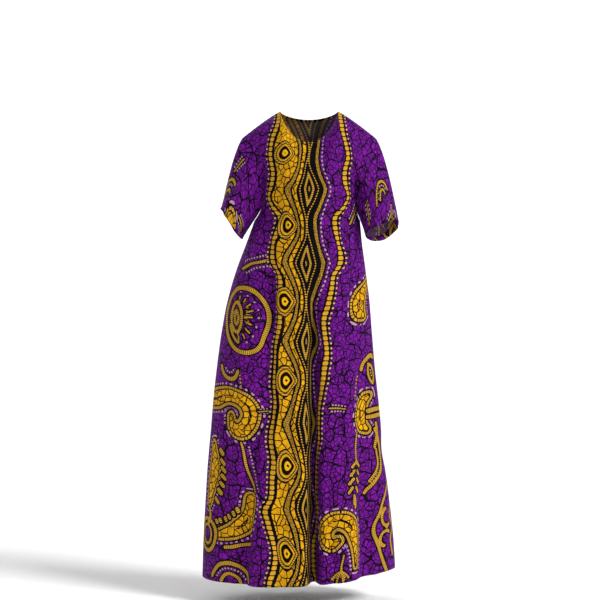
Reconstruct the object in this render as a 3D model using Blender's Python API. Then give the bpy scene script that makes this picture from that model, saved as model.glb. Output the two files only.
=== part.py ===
"""A long loose kaftan dress of printed cotton, filled out as when it is worn, with nobody in it.

Four cut pieces: front, back and two wide drop sleeves. Each is a wall of even thickness round a hollow.
Metres, +Z up. The origin is midway between the two shoulder seams' neck ends, where the dress is held.
The dress faces -Y, and the wearer's right side is at -X.
"""

import bpy
import numpy as np

WALL = 0.002
SEAM_GAP = 0.0003
# Where a sleeve laps over the panel's curved edge instead of meeting it.
LAP_GAP = 0.0006

NECK_HALF_WIDTH = 0.085
FRONT_NECK_DROP = 0.092
FRONT_NECK_DEPTH = 0.078
BACK_NECK_DROP = 0.022
BACK_NECK_DEPTH = 0.056
NECK_SHARE = 0.47

NECK_ROUNDNESS = 1.5

SHOULDER_TIP_X = 0.196
SHOULDER_TIP_DROP = 0.078
SHOULDER_BEND = 1.15
UNDERARM_Z = -0.320
# The armhole's curve takes this share of the panel's half width, where the curve is at its peak.
ARMHOLE_SHARE = 0.27
ARMHOLE_PEAK = 0.325

# How far the yoke's curve reaches out before and behind: at its centre, and at the tip of the shoulder.
YOKE_FRONT = 0.124
YOKE_BACK = 0.106
YOKE_TIP = 0.062
YOKE_TIP_POWER = 2.4
YOKE_RISE = 0.11
# How steeply, in degrees, the cloth leaves the shoulder seam, and what the neck and the tip add to that.
SHOULDER_SLOPE = 7
NECK_SLOPE = 55
TIP_SLOPE = 3

PANEL_COLUMNS = 36
YOKE_ROWS = 12
SKIRT_ROWS = 22
SLEEVE_ROWS = 8
TURN_LENGTH = 0.03

# Level sections of the dress below the underarm: its two sides, and how far it stands out before and behind.
SECTION_COLUMNS = ("z", "right", "left", "front", "back")
SECTIONS = (
    (-0.320, -0.160, 0.150, 0.132, 0.106),
    (-0.386, -0.184, 0.156, 0.134, 0.104),
    (-0.460, -0.212, 0.166, 0.135, 0.106),
    (-0.555, -0.240, 0.178, 0.138, 0.122),
    (-0.655, -0.259, 0.186, 0.142, 0.134),
    (-0.760, -0.273, 0.195, 0.148, 0.142),
    (-0.850, -0.283, 0.205, 0.155, 0.148),
    (-0.935, -0.290, 0.213, 0.161, 0.154),
    (-1.000, -0.296, 0.215, 0.166, 0.158),
    (-1.060, -0.301, 0.226, 0.171, 0.163),
    (-1.110, -0.304, 0.233, 0.175, 0.167),
    (-1.250, -0.312, 0.249, 0.185, 0.178),
    (-1.372, -0.316, 0.257, 0.192, 0.188),
)

# The hem's height round each panel. u runs from -1 at the right side seam to 1 at the left one.
HEM_COLUMNS = ("u", "z")
HEM = (
    (-1.00, -1.372),
    (-0.60, -1.374),
    (-0.27, -1.378),
    (0.10, -1.372),
    (0.45, -1.358),
    (0.80, -1.346),
    (1.00, -1.345),
)

# Folds run down the cloth from a top to a low point. A positive depth is a trough, a negative one a ridge.
# side_right and side_left are how far the fold spreads to each side of its line. One that goes below the
# hem runs out through it.
FOLD_COLUMNS = (
    "name", "z_top", "z_low", "x_top", "x_low", "depth_top", "depth_low", "side_right", "side_left",
)
FRONT_FOLDS = (
    ("centre_pleat", -0.42, -1.40, 0.014, 0.012, 0.014, 0.076, 0.013, 0.013),
    ("border_step", -0.36, -1.12, -0.098, -0.114, 0.022, 0.006, 0.030, 0.009),
    ("right_hem_step", -0.86, -1.40, -0.146, -0.188, 0.006, 0.030, 0.036, 0.012),
    ("left_hem_step", -0.66, -1.40, 0.146, 0.156, 0.010, 0.036, 0.013, 0.036),
    ("right_hip_roll", -0.52, -1.25, -0.176, -0.232, -0.010, -0.008, 0.030, 0.030),
    ("left_knee_roll", -0.70, -1.40, 0.098, 0.104, -0.008, -0.010, 0.036, 0.030),
    ("left_armpit_drag", -0.16, -0.52, 0.150, 0.066, 0.016, 0.010, 0.015, 0.020),
    ("left_chest_drag", -0.12, -0.46, 0.108, 0.030, 0.010, 0.009, 0.014, 0.017),
    ("left_side_drag", -0.24, -0.60, 0.146, 0.120, 0.014, 0.010, 0.014, 0.018),
    ("right_armpit_drag", -0.13, -0.46, -0.146, -0.110, 0.015, 0.010, 0.018, 0.014),
    ("right_chest_drag", -0.12, -0.42, -0.108, -0.062, 0.009, 0.008, 0.016, 0.013),
)
BACK_FOLDS = (
    ("back_centre_fall", -0.26, -1.40, 0.012, -0.020, 0.010, 0.040, 0.034, 0.024),
    ("back_right_fall", -0.30, -1.40, -0.086, -0.128, 0.008, 0.044, 0.022, 0.034),
    ("back_left_fall", -0.34, -1.40, 0.082, 0.112, 0.010, 0.038, 0.036, 0.024),
    ("back_right_step", -0.80, -1.40, -0.196, -0.222, 0.008, 0.022, 0.024, 0.022),
    ("back_left_step", -0.74, -1.40, 0.158, 0.184, 0.008, 0.022, 0.022, 0.024),
    ("back_right_drag", -0.14, -0.46, -0.140, -0.100, 0.013, 0.010, 0.015, 0.018),
    ("back_left_drag", -0.15, -0.44, 0.138, 0.096, 0.013, 0.010, 0.018, 0.015),
)

FOLD_STEEPNESS = 3.2
# Shares of a fold's length over which it comes up and dies away, and of the yoke that the top edge holds flat.
FOLD_START = 0.22
FOLD_END = 0.25
TOP_HOLD = 0.25
SEAM_HOLD = 8

# The sleeve hems, each through four points: outermost, front, against the body, and behind.
CUFFS = {
    "sleeve_right": {
        "outer": (-0.258, 0.004, -0.284),
        "front": (-0.232, -0.088, -0.322),
        "inner": (-0.197, -0.004, -0.372),
        "back": (-0.222, 0.084, -0.352),
    },
    "sleeve_left": {
        "outer": (0.264, -0.006, -0.322),
        "front": (0.208, -0.096, -0.331),
        "inner": (0.166, -0.028, -0.366),
        "back": (0.226, 0.066, -0.376),
    },
}
# How strongly the sleeve's lines keep to their way out at both ends, how far they turn down at the hem, and
# how much closer the rings stand at the seam.
SLEEVE_HOLD = 0.62
SLEEVE_DROOP = 0.35
RING_CROWDING = 1.25

# Folds on a sleeve: where round it they start at the seam and end at the hem (0 on top, 0.5 underneath).
SLEEVE_FOLD_COLUMNS = ("name", "at_seam", "at_hem", "depth_seam", "depth_hem", "spread")
SLEEVE_FOLDS = (
    ("front_drag", 0.36, 0.24, 0.008, 0.003, 0.030),
    ("front_roll", 0.26, 0.13, -0.004, -0.006, 0.035),
    ("back_drag", 0.64, 0.75, 0.008, 0.004, 0.030),
    ("back_roll", 0.75, 0.87, -0.004, -0.006, 0.035),
)

CLOTH_COLORS = {
    "front": (0.25, 0.03, 0.31),
    "back": (0.21, 0.02, 0.26),
    "sleeve_right": (0.30, 0.04, 0.36),
    "sleeve_left": (0.30, 0.04, 0.36),
}


def rows_of(table, columns):
    return [dict(zip(columns, row)) for row in table]


def column(table, columns, name):
    return np.array([row[columns.index(name)] for row in table])


def unit(vectors):
    return vectors / np.linalg.norm(vectors, axis=-1, keepdims=True)


def ease(t):
    """0 to 1 with no kink at either end."""
    t = np.clip(t, 0.0, 1.0)
    return t * t * (3 - 2 * t)


def curve_through(at, values, t):
    """A smooth curve through the values, level with its neighbours' slope at each."""
    slopes = np.gradient(values, at)
    cell = np.clip(np.searchsorted(at, t, side="right") - 1, 0, len(at) - 2)
    step = at[cell + 1] - at[cell]
    s = (t - at[cell]) / step
    rise = s * s * (3 - 2 * s)
    start = s * (1 - s) ** 2 * step
    end = -s * s * (1 - s) * step
    return values[cell] * (1 - rise) + values[cell + 1] * rise + slopes[cell] * start + slopes[cell + 1] * end


def section(name, z):
    """One column of the sections table at height z."""
    at = column(SECTIONS, SECTION_COLUMNS, "z")[::-1]
    values = column(SECTIONS, SECTION_COLUMNS, name)[::-1]
    return curve_through(at, values, np.clip(z, at[0], at[-1]))


def skirt_point(face, u, down):
    """The smooth form below the underarm. u runs from -1 at the right side seam to 1 at the left one."""
    hem = curve_through(column(HEM, HEM_COLUMNS, "u"), column(HEM, HEM_COLUMNS, "z"), u)
    z = UNDERARM_Z + down * (hem - UNDERARM_Z)
    right, left = section("right", z), section("left", z)
    out = section(face, z) * (-1 if face == "front" else 1)
    angle = u * np.pi / 2
    x = (right + left) / 2 + (left - right) / 2 * np.sin(angle)
    return np.stack([x, out * np.cos(angle), z], axis=-1)


def top_edge(face, u):
    """The neckline, and beyond it the shoulder seam out to the top of the armhole."""
    drop, depth = (FRONT_NECK_DROP, -FRONT_NECK_DEPTH) if face == "front" else (BACK_NECK_DROP, BACK_NECK_DEPTH)
    side = np.sign(u)
    round_neck = np.clip(np.abs(u) / NECK_SHARE, 0, 1) * np.pi / 2
    along = np.clip((np.abs(u) - NECK_SHARE) / (1 - NECK_SHARE), 0, 1)
    x = side * (NECK_HALF_WIDTH * np.sin(round_neck) + (SHOULDER_TIP_X - NECK_HALF_WIDTH) * along)
    z = -drop * np.cos(round_neck) ** NECK_ROUNDNESS - SHOULDER_TIP_DROP * along ** SHOULDER_BEND
    return np.stack([x, depth * np.cos(round_neck), z], axis=-1), round_neck, along


def yoke_point(face, u, t):
    """The smooth form from the top edge, at t 0, down to the underarm level, at t 1."""
    top, round_neck, along = top_edge(face, u)
    forward, middle = (-1, YOKE_FRONT) if face == "front" else (1, YOKE_BACK)
    steep = np.radians(SHOULDER_SLOPE + NECK_SLOPE * np.cos(round_neck) ** 2 + TIP_SLOPE * along ** 2)
    leave = np.stack([0 * u, forward * np.cos(steep), -np.sin(steep)], axis=-1)
    stand = middle + (YOKE_TIP - middle) * np.abs(u) ** YOKE_TIP_POWER
    reach = ((stand - np.abs(top[..., 1])) / np.cos(steep))[..., None]
    low = skirt_point(face, u, 0 * u)
    rise = unit(low - skirt_point(face, u, 0 * u + 0.004))
    points = (top, top + leave * reach, low + rise * YOKE_RISE, low)
    t = t[..., None]
    weights = ((1 - t) ** 3, 3 * t * (1 - t) ** 2, 3 * t * t * (1 - t), t ** 3)
    return sum(point * weight for point, weight in zip(points, weights))


def fold_depth(face, x, z):
    """How far the folds push the cloth inwards at x, z."""
    table = FRONT_FOLDS if face == "front" else BACK_FOLDS
    total = np.zeros_like(x)
    for fold in rows_of(table, FOLD_COLUMNS):
        s = (fold["z_top"] - z) / (fold["z_top"] - fold["z_low"])
        dies_away = fold["z_low"] > min(z for _, z in HEM)
        shown = ease(s / FOLD_START) * (ease((1 - s) / FOLD_END) if dies_away else 1)
        s = np.clip(s, 0, 1)
        off = x - (fold["x_top"] + (fold["x_low"] - fold["x_top"]) * s)
        spread = np.where(off < 0, fold["side_right"], fold["side_left"])
        depth = fold["depth_top"] + (fold["depth_low"] - fold["depth_top"]) * s
        total += shown * depth / (1 + np.abs(off / spread) ** FOLD_STEEPNESS)
    return total


def cloth_point(face, u, v):
    """The cloth's middle surface. v runs from 0 at the top edge to 1 at the underarm and 2 at the hem."""
    u, v = np.broadcast_arrays(np.asarray(u, float), np.asarray(v, float))
    yoke = yoke_point(face, u, np.clip(v, 0, 1))
    skirt = skirt_point(face, u, np.clip(v - 1, 0, 1))
    points = np.where((v < 1)[..., None], yoke, skirt)
    clear_of_seams = (1 - np.abs(u) ** SEAM_HOLD) * ease(v / TOP_HOLD)
    inwards = 1 if face == "front" else -1
    points[..., 1] += inwards * clear_of_seams * fold_depth(face, points[..., 0], points[..., 2])
    return points


def armhole_u(v):
    """Where a panel ends at height v: at the armhole's curve, and below it at the side seam."""
    v = np.clip(v, 0, 1)
    return 1 - ARMHOLE_SHARE * v ** 1.5 * np.sqrt(1 - v) / ARMHOLE_PEAK


def row_heights():
    """Rows crowd towards the shoulder and the underarm, and are even below."""
    yoke = (1 - np.cos(np.linspace(0, np.pi, YOKE_ROWS + 1))) / 2
    return np.concatenate([yoke, 1 + np.linspace(0, 1, SKIRT_ROWS + 1)[1:]])


def row_columns(face, v):
    """Where the columns cross a row: even along the cloth, and closer together where it turns."""
    end = armhole_u(v)
    u = np.linspace(-end, end, 900)
    steps = np.diff(cloth_point(face, u, v), axis=0)
    lengths = np.linalg.norm(steps, axis=1)
    turns = np.arccos(np.clip((unit(steps)[1:] * unit(steps)[:-1]).sum(1), -1, 1))
    weights = lengths + TURN_LENGTH * np.concatenate([turns, turns[-1:]])
    along = np.concatenate([[0], np.cumsum(weights)]) / weights.sum()
    even = (u / end + 1) / 2
    share = ease(v / 0.7)
    return np.interp(np.linspace(0, 1, PANEL_COLUMNS + 1), (1 - share) * even + share * along, u)


def slopes_of(face, u, v):
    """Unit steps of the cloth along its rows and down its columns."""
    tiny = 1e-4
    u0, u1 = np.maximum(u - tiny, -1), np.minimum(u + tiny, 1)
    v0, v1 = np.maximum(v - tiny, 0), np.minimum(v + tiny, 2)
    across = cloth_point(face, u1, v) - cloth_point(face, u0, v)
    down = cloth_point(face, u, v1) - cloth_point(face, u, v0)
    return unit(across), unit(down)


def panel(face):
    """Grid of the panel's points and outward normals, row by row from the top edge to the hem."""
    v = row_heights()
    u = np.array([row_columns(face, height) for height in v])
    v = np.repeat(v[:, None], u.shape[1], axis=1)
    points = cloth_point(face, u, v)
    across, down = slopes_of(face, u, v)
    outwards = unit(np.cross(down, across) if face == "front" else np.cross(across, down))
    # Both panels meet square at their seams: the shoulder seam runs on a ridge, the side seam down a round side.
    along_y = np.array([0.0, 1.0, 0.0])
    seam = np.abs(u[0]) >= NECK_SHARE
    ridge = unit(np.gradient(points[0], axis=0))
    outwards[0, seam] = unit(np.cross(ridge, along_y))[seam]
    for edge, side in ((0, -1), (-1, 1)):
        below = slice(YOKE_ROWS, None)
        fall = unit(np.gradient(points[below, edge], axis=0))
        outwards[below, edge] = unit(np.cross(fall, along_y)) * side
    return points, outwards


def inset(points, outwards):
    """The panel with its top and side edges drawn in by half a seam gap."""
    drawn = points.copy()
    half = SEAM_GAP / 2
    for edge, neighbour in ((0, 1), (-1, -2)):
        tangent = unit(np.gradient(points[:, edge], axis=0))
        inwards = unit(np.cross(tangent, outwards[:, edge]))
        facing = ((points[:, neighbour] - points[:, edge]) * inwards).sum(1)
        drawn[:, edge] += inwards * np.where(facing > 0, half, -half)[:, None]
    drawn[0] += unit(points[1] - points[0]) * half
    return drawn


def wall_object(name, points, outwards, round_tube):
    """A closed wall on both sides of a grid of points. round_tube joins the last column to the first."""
    rows, columns = points.shape[:2]
    outer = points + outwards * WALL / 2
    inner = points - outwards * WALL / 2
    vertices = np.concatenate([outer.reshape(-1, 3), inner.reshape(-1, 3)])
    index = np.arange(rows * columns).reshape(rows, columns)
    below = rows * columns
    if round_tube:
        index = np.concatenate([index, index[:, :1]], axis=1)
    a, b, c, d = index[:-1, :-1].ravel(), index[1:, :-1].ravel(), index[1:, 1:].ravel(), index[:-1, 1:].ravel()
    sheet = np.concatenate([np.stack([a, b, c], 1), np.stack([a, c, d], 1)])
    faces = [sheet, sheet[:, ::-1] + below]
    rims = [index[0, ::-1], index[-1]]
    if not round_tube:
        rims += [index[:, 0], index[::-1, -1]]
    for rim in rims:
        p, q = rim[:-1], rim[1:]
        faces += [np.stack([q, p, p + below], 1), np.stack([q, p + below, q + below], 1)]
    faces = np.concatenate(faces)
    mesh = bpy.data.meshes.new(name)
    mesh.from_pydata(vertices.tolist(), [], faces.tolist())
    mesh.shade_smooth()
    mesh.set_sharp_from_angle(angle=np.radians(50))
    made = bpy.data.objects.new(name, mesh)
    bpy.context.scene.collection.objects.link(made)
    made.data.materials.append(cloth_material(name))
    return made


def cloth_material(name):
    made = bpy.data.materials.new(name + "_cotton")
    made.use_nodes = True
    shader = made.node_tree.nodes["Principled BSDF"]
    shader.inputs["Base Color"].default_value = (*CLOTH_COLORS[name], 1)
    shader.inputs["Roughness"].default_value = 0.8
    shader.inputs["Metallic"].default_value = 0.0
    return made


def armhole(panels, side):
    """The armhole's loop from the shoulder down the front to the underarm and up the back again.

    Gives its points, the cloth's outward normals there, and the way out of the panel across its edge.
    """
    edge, inside = (0, 1) if side < 0 else (-1, -2)
    reach = slice(0, YOKE_ROWS + 1)
    loops = []
    for face in ("front", "back"):
        points, outwards = panels[face]
        loops.append((points[reach, edge], outwards[reach, edge], points[reach, inside]))
    (front, front_out, front_in), (back, back_out, back_in) = loops
    points = np.concatenate([front, back[-2:0:-1]])
    outwards = np.concatenate([front_out, back_out[-2:0:-1]])
    within = np.concatenate([front_in, back_in[-2:0:-1]])
    tangent = unit(np.roll(points, -1, axis=0) - np.roll(points, 1, axis=0))
    leaving = unit(np.cross(tangent, outwards))
    towards = ((within - points) * leaving).sum(1)
    underarm = YOKE_ROWS
    leaving = np.where(towards[:, None] > 0, -leaving, leaving)
    leaving[0] = unit(np.array([side * (SHOULDER_TIP_X - NECK_HALF_WIDTH), 0, -SHOULDER_TIP_DROP]))
    leaving[underarm] = np.array([0.0, 0.0, 1.0])
    return points, outwards, leaving


def cuff_loop(name, shares):
    """The sleeve hem's loop at shares of its length, from the outermost point round the front."""
    corner = {key: np.array(value) for key, value in CUFFS[name].items()}
    middle = (corner["outer"] + corner["inner"]) / 2
    lift = (corner["front"] + corner["back"]) / 2 - middle

    def at(angle):
        c, s = np.cos(angle)[:, None], np.sin(angle)[:, None]
        return (
            middle
            + c * (corner["outer"] - corner["inner"]) / 2
            + s * (corner["front"] - corner["back"]) / 2
            + s * s * lift
        )

    halves = []
    for start in (0.0, np.pi):
        angles = np.linspace(start, start + np.pi, 200)
        lengths = np.linalg.norm(np.diff(at(angles), axis=0), axis=1)
        halves.append((np.concatenate([[0], np.cumsum(lengths)]) / lengths.sum(), angles))
    (front_along, front_angles), (back_along, back_angles) = halves
    angles = np.where(
        shares <= 0.5,
        np.interp(shares * 2, front_along, front_angles),
        np.interp(shares * 2 - 1, back_along, back_angles),
    )
    return at(angles)


def loop_shares(points):
    """Each point's share of the way round, 0 to 0.5 down the front and 0.5 to 1 up the back."""
    closed = np.concatenate([points, points[:1]])
    lengths = np.linalg.norm(np.diff(closed, axis=0), axis=1)
    along = np.concatenate([[0], np.cumsum(lengths)])
    half = along[YOKE_ROWS]
    down, up = along[: YOKE_ROWS + 1] / half / 2, 0.5 + (along[YOKE_ROWS + 1:] - half) / (along[-1] - half) / 2
    return np.concatenate([down, up])[:-1]


def sleeve(name, panels):
    """Grid of the sleeve's points and wall directions, ring by ring from the armhole to its hem."""
    side = -1 if name == "sleeve_right" else 1
    seam, body_out, leaving = armhole(panels, side)
    shares = loop_shares(seam)
    cuff = cuff_loop(name, shares)
    hang = unit(cuff - seam)
    lowness = ease(1 - np.abs(shares - 0.5) * 2)[:, None]
    start_way = unit(leaving * (1 - lowness) * 0.5 + hang * (0.5 + 0.5 * lowness))
    end_way = unit(hang - np.array([0.0, 0.0, SLEEVE_DROOP]))
    reach = np.linalg.norm(cuff - seam, axis=1, keepdims=True)

    # Where the sleeve turns back along the body, under the arm, it starts just outside the panel's face.
    turn = np.arctan2((start_way * body_out).sum(1), (start_way * leaving).sum(1))
    own = ease((turn - np.radians(30)) / np.radians(50))[:, None]
    tangent = unit(np.roll(seam, -1, axis=0) - np.roll(seam, 1, axis=0))
    own_out = unit(np.cross(tangent, start_way))
    own_out = np.where((np.cross(tangent, leaving) * body_out).sum(1, keepdims=True) > 0, own_out, -own_out)
    wall_way = unit(body_out * (1 - own) + own_out * own)
    lean = np.clip((wall_way * body_out).sum(1, keepdims=True), -1, 1)
    sine = np.sqrt(1 - lean ** 2)
    lap = np.clip(sine / 0.3, 0, 1)
    step_off = SEAM_GAP / 2 + (LAP_GAP - SEAM_GAP) * lap
    step_out = WALL / 2 * (1 - lean) + LAP_GAP * lap
    start = seam + leaving * step_off + body_out * step_out

    rings = np.linspace(0, 1, SLEEVE_ROWS + 1) ** RING_CROWDING
    t = rings[:, None, None]
    points = (
        start * (1 + 2 * t) * (1 - t) ** 2
        + start_way * reach * SLEEVE_HOLD * t * (1 - t) ** 2
        + cuff * t * t * (3 - 2 * t)
        - end_way * reach * SLEEVE_HOLD * t * t * (1 - t)
    )
    outwards = ring_normals(points, side)
    points -= outwards * sleeve_folds(shares, rings)[..., None]
    outwards = ring_normals(points, side)
    outwards[0] = wall_way
    return points, outwards


def ring_normals(points, side):
    """Outward normals of a tube's grid of points."""
    round_way = np.roll(points, -1, axis=1) - np.roll(points, 1, axis=1)
    long_way = np.gradient(points, axis=0)
    return unit(np.cross(round_way, long_way) * side)


def sleeve_folds(shares, rings):
    """How far the sleeve's folds push it inwards."""
    total = np.zeros((len(rings), len(shares)))
    for fold in rows_of(SLEEVE_FOLDS, SLEEVE_FOLD_COLUMNS):
        at = fold["at_seam"] + (fold["at_hem"] - fold["at_seam"]) * rings
        off = shares[None, :] - at[:, None]
        depth = fold["depth_seam"] + (fold["depth_hem"] - fold["depth_seam"]) * rings
        shown = ease(rings / 0.25) * depth
        total += shown[:, None] * np.exp(-((off / fold["spread"]) ** 2))
    return total


for leftover in list(bpy.data.objects):
    bpy.data.objects.remove(leftover, do_unlink=True)

grids = {face: panel(face) for face in ("front", "back")}
for face, (points, outwards) in grids.items():
    if face == "back":
        points, outwards = points[:, ::-1], outwards[:, ::-1]
    wall_object(face, inset(points, outwards), outwards, round_tube=False)
for name in CUFFS:
    points, outwards = sleeve(name, grids)
    if name == "sleeve_left":
        points, outwards = points[:, ::-1], outwards[:, ::-1]
    wall_object(name, points, outwards, round_tube=True)
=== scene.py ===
"""A long loose kaftan dress of wax-print cotton, filled out as when it is worn, with nobody in it.

The dress faces -Y and its right side is at -X. The origin lies between the neck ends of its shoulder seams.
"""

import bpy
import numpy as np
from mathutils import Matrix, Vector


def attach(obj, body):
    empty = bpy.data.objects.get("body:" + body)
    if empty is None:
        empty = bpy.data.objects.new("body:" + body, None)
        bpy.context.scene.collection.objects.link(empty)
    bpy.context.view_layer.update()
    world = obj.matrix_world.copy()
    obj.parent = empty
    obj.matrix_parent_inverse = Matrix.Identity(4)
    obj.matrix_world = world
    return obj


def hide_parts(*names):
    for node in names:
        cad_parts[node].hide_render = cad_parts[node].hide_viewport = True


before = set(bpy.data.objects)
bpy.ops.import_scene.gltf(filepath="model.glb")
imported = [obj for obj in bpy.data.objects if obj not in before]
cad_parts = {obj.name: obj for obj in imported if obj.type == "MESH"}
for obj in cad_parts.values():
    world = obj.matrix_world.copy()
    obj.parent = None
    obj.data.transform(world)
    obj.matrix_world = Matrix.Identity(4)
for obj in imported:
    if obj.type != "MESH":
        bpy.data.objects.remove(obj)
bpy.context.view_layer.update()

# The cloth's form. A kaftan is cut flat and loose, and hangs from the shoulder seams: round over the yoke,
# then falling in a few deep folds to the hem. Its sizes are those of the solids, in metres.

NECK_HALF_WIDTH = 0.085
FRONT_NECK_DROP = 0.092
FRONT_NECK_DEPTH = 0.078
BACK_NECK_DROP = 0.022
BACK_NECK_DEPTH = 0.056
NECK_SHARE = 0.47
NECK_ROUNDNESS = 1.5

SHOULDER_TIP_X = 0.196
SHOULDER_TIP_DROP = 0.078
SHOULDER_BEND = 1.15
UNDERARM_Z = -0.320
ARMHOLE_SHARE = 0.27
ARMHOLE_PEAK = 0.325

YOKE_FRONT = 0.124
YOKE_BACK = 0.106
YOKE_TIP = 0.062
YOKE_TIP_POWER = 2.4
YOKE_RISE = 0.11
SHOULDER_SLOPE = 7
NECK_SLOPE = 55
TIP_SLOPE = 3
# A short step down the skirt, as a share of its length, that gives its slope at the underarm.
SKIRT_STEP = 0.004

# Level sections below the underarm: the two sides, and how far the cloth stands out before and behind.
SECTION_COLUMNS = ("z", "right", "left", "front", "back")
SECTIONS = (
    (-0.320, -0.160, 0.150, 0.132, 0.106),
    (-0.386, -0.184, 0.156, 0.134, 0.104),
    (-0.460, -0.212, 0.166, 0.135, 0.106),
    (-0.555, -0.240, 0.178, 0.138, 0.122),
    (-0.655, -0.259, 0.186, 0.142, 0.134),
    (-0.760, -0.273, 0.195, 0.148, 0.142),
    (-0.850, -0.283, 0.205, 0.155, 0.148),
    (-0.935, -0.290, 0.213, 0.161, 0.154),
    (-1.000, -0.296, 0.215, 0.166, 0.158),
    (-1.060, -0.301, 0.226, 0.171, 0.163),
    (-1.110, -0.304, 0.233, 0.175, 0.167),
    (-1.250, -0.312, 0.249, 0.185, 0.178),
    (-1.372, -0.316, 0.257, 0.192, 0.188),
)
HEM_COLUMNS = ("u", "z")
HEM = (
    (-1.00, -1.372),
    (-0.60, -1.374),
    (-0.27, -1.378),
    (0.10, -1.372),
    (0.45, -1.358),
    (0.80, -1.346),
    (1.00, -1.345),
)

# Folds run down the cloth. A positive depth is a trough and a negative one a ridge. The last rows of each
# table are the small creases, which the solids leave out.
FOLD_COLUMNS = (
    "name", "z_top", "z_low", "x_top", "x_low", "depth_top", "depth_low", "side_right", "side_left",
)
FRONT_FOLDS = (
    ("centre_pleat", -0.42, -1.40, 0.014, 0.012, 0.021, 0.080, 0.013, 0.013),
    ("border_step", -0.36, -1.12, -0.098, -0.114, 0.026, 0.010, 0.030, 0.008),
    ("right_hem_step", -0.86, -1.40, -0.146, -0.188, 0.014, 0.037, 0.036, 0.011),
    ("left_hem_step", -0.66, -1.40, 0.146, 0.156, 0.015, 0.040, 0.012, 0.036),
    ("right_hip_roll", -0.52, -1.25, -0.176, -0.232, -0.010, -0.008, 0.030, 0.030),
    ("left_knee_roll", -0.70, -1.40, 0.098, 0.104, -0.008, -0.010, 0.036, 0.030),
    ("left_armpit_drag", -0.16, -0.52, 0.150, 0.066, 0.016, 0.010, 0.015, 0.020),
    ("left_chest_drag", -0.12, -0.46, 0.108, 0.030, 0.010, 0.009, 0.014, 0.017),
    ("left_side_drag", -0.24, -0.60, 0.146, 0.120, 0.014, 0.010, 0.014, 0.018),
    ("right_armpit_drag", -0.13, -0.46, -0.146, -0.110, 0.015, 0.010, 0.018, 0.014),
    ("right_chest_drag", -0.12, -0.42, -0.108, -0.062, 0.009, 0.008, 0.016, 0.013),
    ("neck_pull", -0.10, -0.30, 0.052, 0.022, 0.004, 0.002, 0.008, 0.006),
    ("border_crease", -0.50, -1.10, -0.060, -0.052, 0.004, 0.005, 0.012, 0.006),
    ("lobe_crease", -0.84, -1.40, -0.078, -0.092, 0.003, 0.009, 0.014, 0.022),
    ("right_knee_crease", -0.70, -1.30, -0.214, -0.262, 0.005, 0.009, 0.010, 0.018),
    ("right_thigh_crease", -0.46, -0.84, -0.150, -0.184, 0.004, 0.005, 0.009, 0.015),
    ("right_shin_crease", -1.00, -1.40, -0.226, -0.236, 0.003, 0.010, 0.018, 0.012),
    ("left_hip_crease", -0.50, -0.98, 0.126, 0.082, 0.007, 0.005, 0.008, 0.014),
    ("left_thigh_crease", -0.62, -1.12, 0.060, 0.110, 0.005, 0.005, 0.012, 0.008),
    ("left_shin_crease", -0.96, -1.40, 0.060, 0.072, 0.004, 0.011, 0.016, 0.012),
    ("left_hem_crease", -1.10, -1.40, 0.206, 0.214, 0.004, 0.012, 0.014, 0.014),
    ("right_breast_crease", -0.20, -0.52, -0.060, -0.026, 0.004, 0.004, 0.008, 0.012),
    ("left_breast_crease", -0.18, -0.50, 0.066, 0.020, 0.005, 0.004, 0.012, 0.008),
)
BACK_FOLDS = (
    ("back_centre_fall", -0.26, -1.40, 0.012, -0.020, 0.010, 0.040, 0.034, 0.024),
    ("back_right_fall", -0.30, -1.40, -0.086, -0.128, 0.008, 0.044, 0.022, 0.034),
    ("back_left_fall", -0.34, -1.40, 0.082, 0.112, 0.010, 0.038, 0.036, 0.024),
    ("back_right_step", -0.80, -1.40, -0.196, -0.222, 0.008, 0.022, 0.024, 0.022),
    ("back_left_step", -0.74, -1.40, 0.158, 0.184, 0.008, 0.022, 0.022, 0.024),
    ("back_right_drag", -0.14, -0.46, -0.140, -0.100, 0.013, 0.010, 0.015, 0.018),
    ("back_left_drag", -0.15, -0.44, 0.138, 0.096, 0.013, 0.010, 0.018, 0.015),
    ("back_neck_pull", -0.06, -0.28, -0.040, -0.018, 0.004, 0.003, 0.008, 0.010),
    ("back_waist_crease", -0.48, -0.92, 0.046, 0.058, 0.003, 0.006, 0.010, 0.016),
    ("back_hip_crease", -0.56, -1.16, -0.048, -0.066, 0.004, 0.006, 0.016, 0.010),
    ("back_hem_crease", -1.02, -1.40, 0.052, 0.044, 0.003, 0.009, 0.014, 0.010),
)
# The border's middle drifts to the right lip of the front's centre pleat as the pleat opens.
BORDER_DRIFT = {"front": -0.008, "back": 0.0}
BORDER_DRIFT_FROM = -0.10
BORDER_DRIFT_FALL = 0.35
FOLD_STEEPNESS = 3.2
FOLD_START = 0.22
FOLD_END = 0.25
TOP_HOLD = 0.25
SEAM_HOLD = 8

# Rows and columns of cloth, close enough for the printed lines to keep their edges. The columns are even at
# the top edge. From EVEN_SHARE of the yoke down they crowd at bends, where a turn of one radian counts for as
# much as TURN_LENGTH of flat cloth.
PANEL_COLUMNS = 184
YOKE_ROWS = 72
SKIRT_ROWS = 176
TURN_LENGTH = 0.03
EVEN_SHARE = 0.7
ROW_SAMPLES = 900
FORM_SAMPLES = 81


def rows_of(table, columns):
    return [dict(zip(columns, row)) for row in table]


def column(table, columns, name):
    return np.array([row[columns.index(name)] for row in table])


def unit(vectors):
    return vectors / np.linalg.norm(vectors, axis=-1, keepdims=True)


def run_along(points):
    """How far each point is along its line, which runs down the first axis."""
    steps = np.linalg.norm(np.diff(points, axis=0), axis=-1)
    return np.concatenate([np.zeros_like(steps[:1]), np.cumsum(steps, axis=0)])


def ease(t):
    """0 to 1 with no kink at either end."""
    t = np.clip(t, 0.0, 1.0)
    return t * t * (3 - 2 * t)


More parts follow.
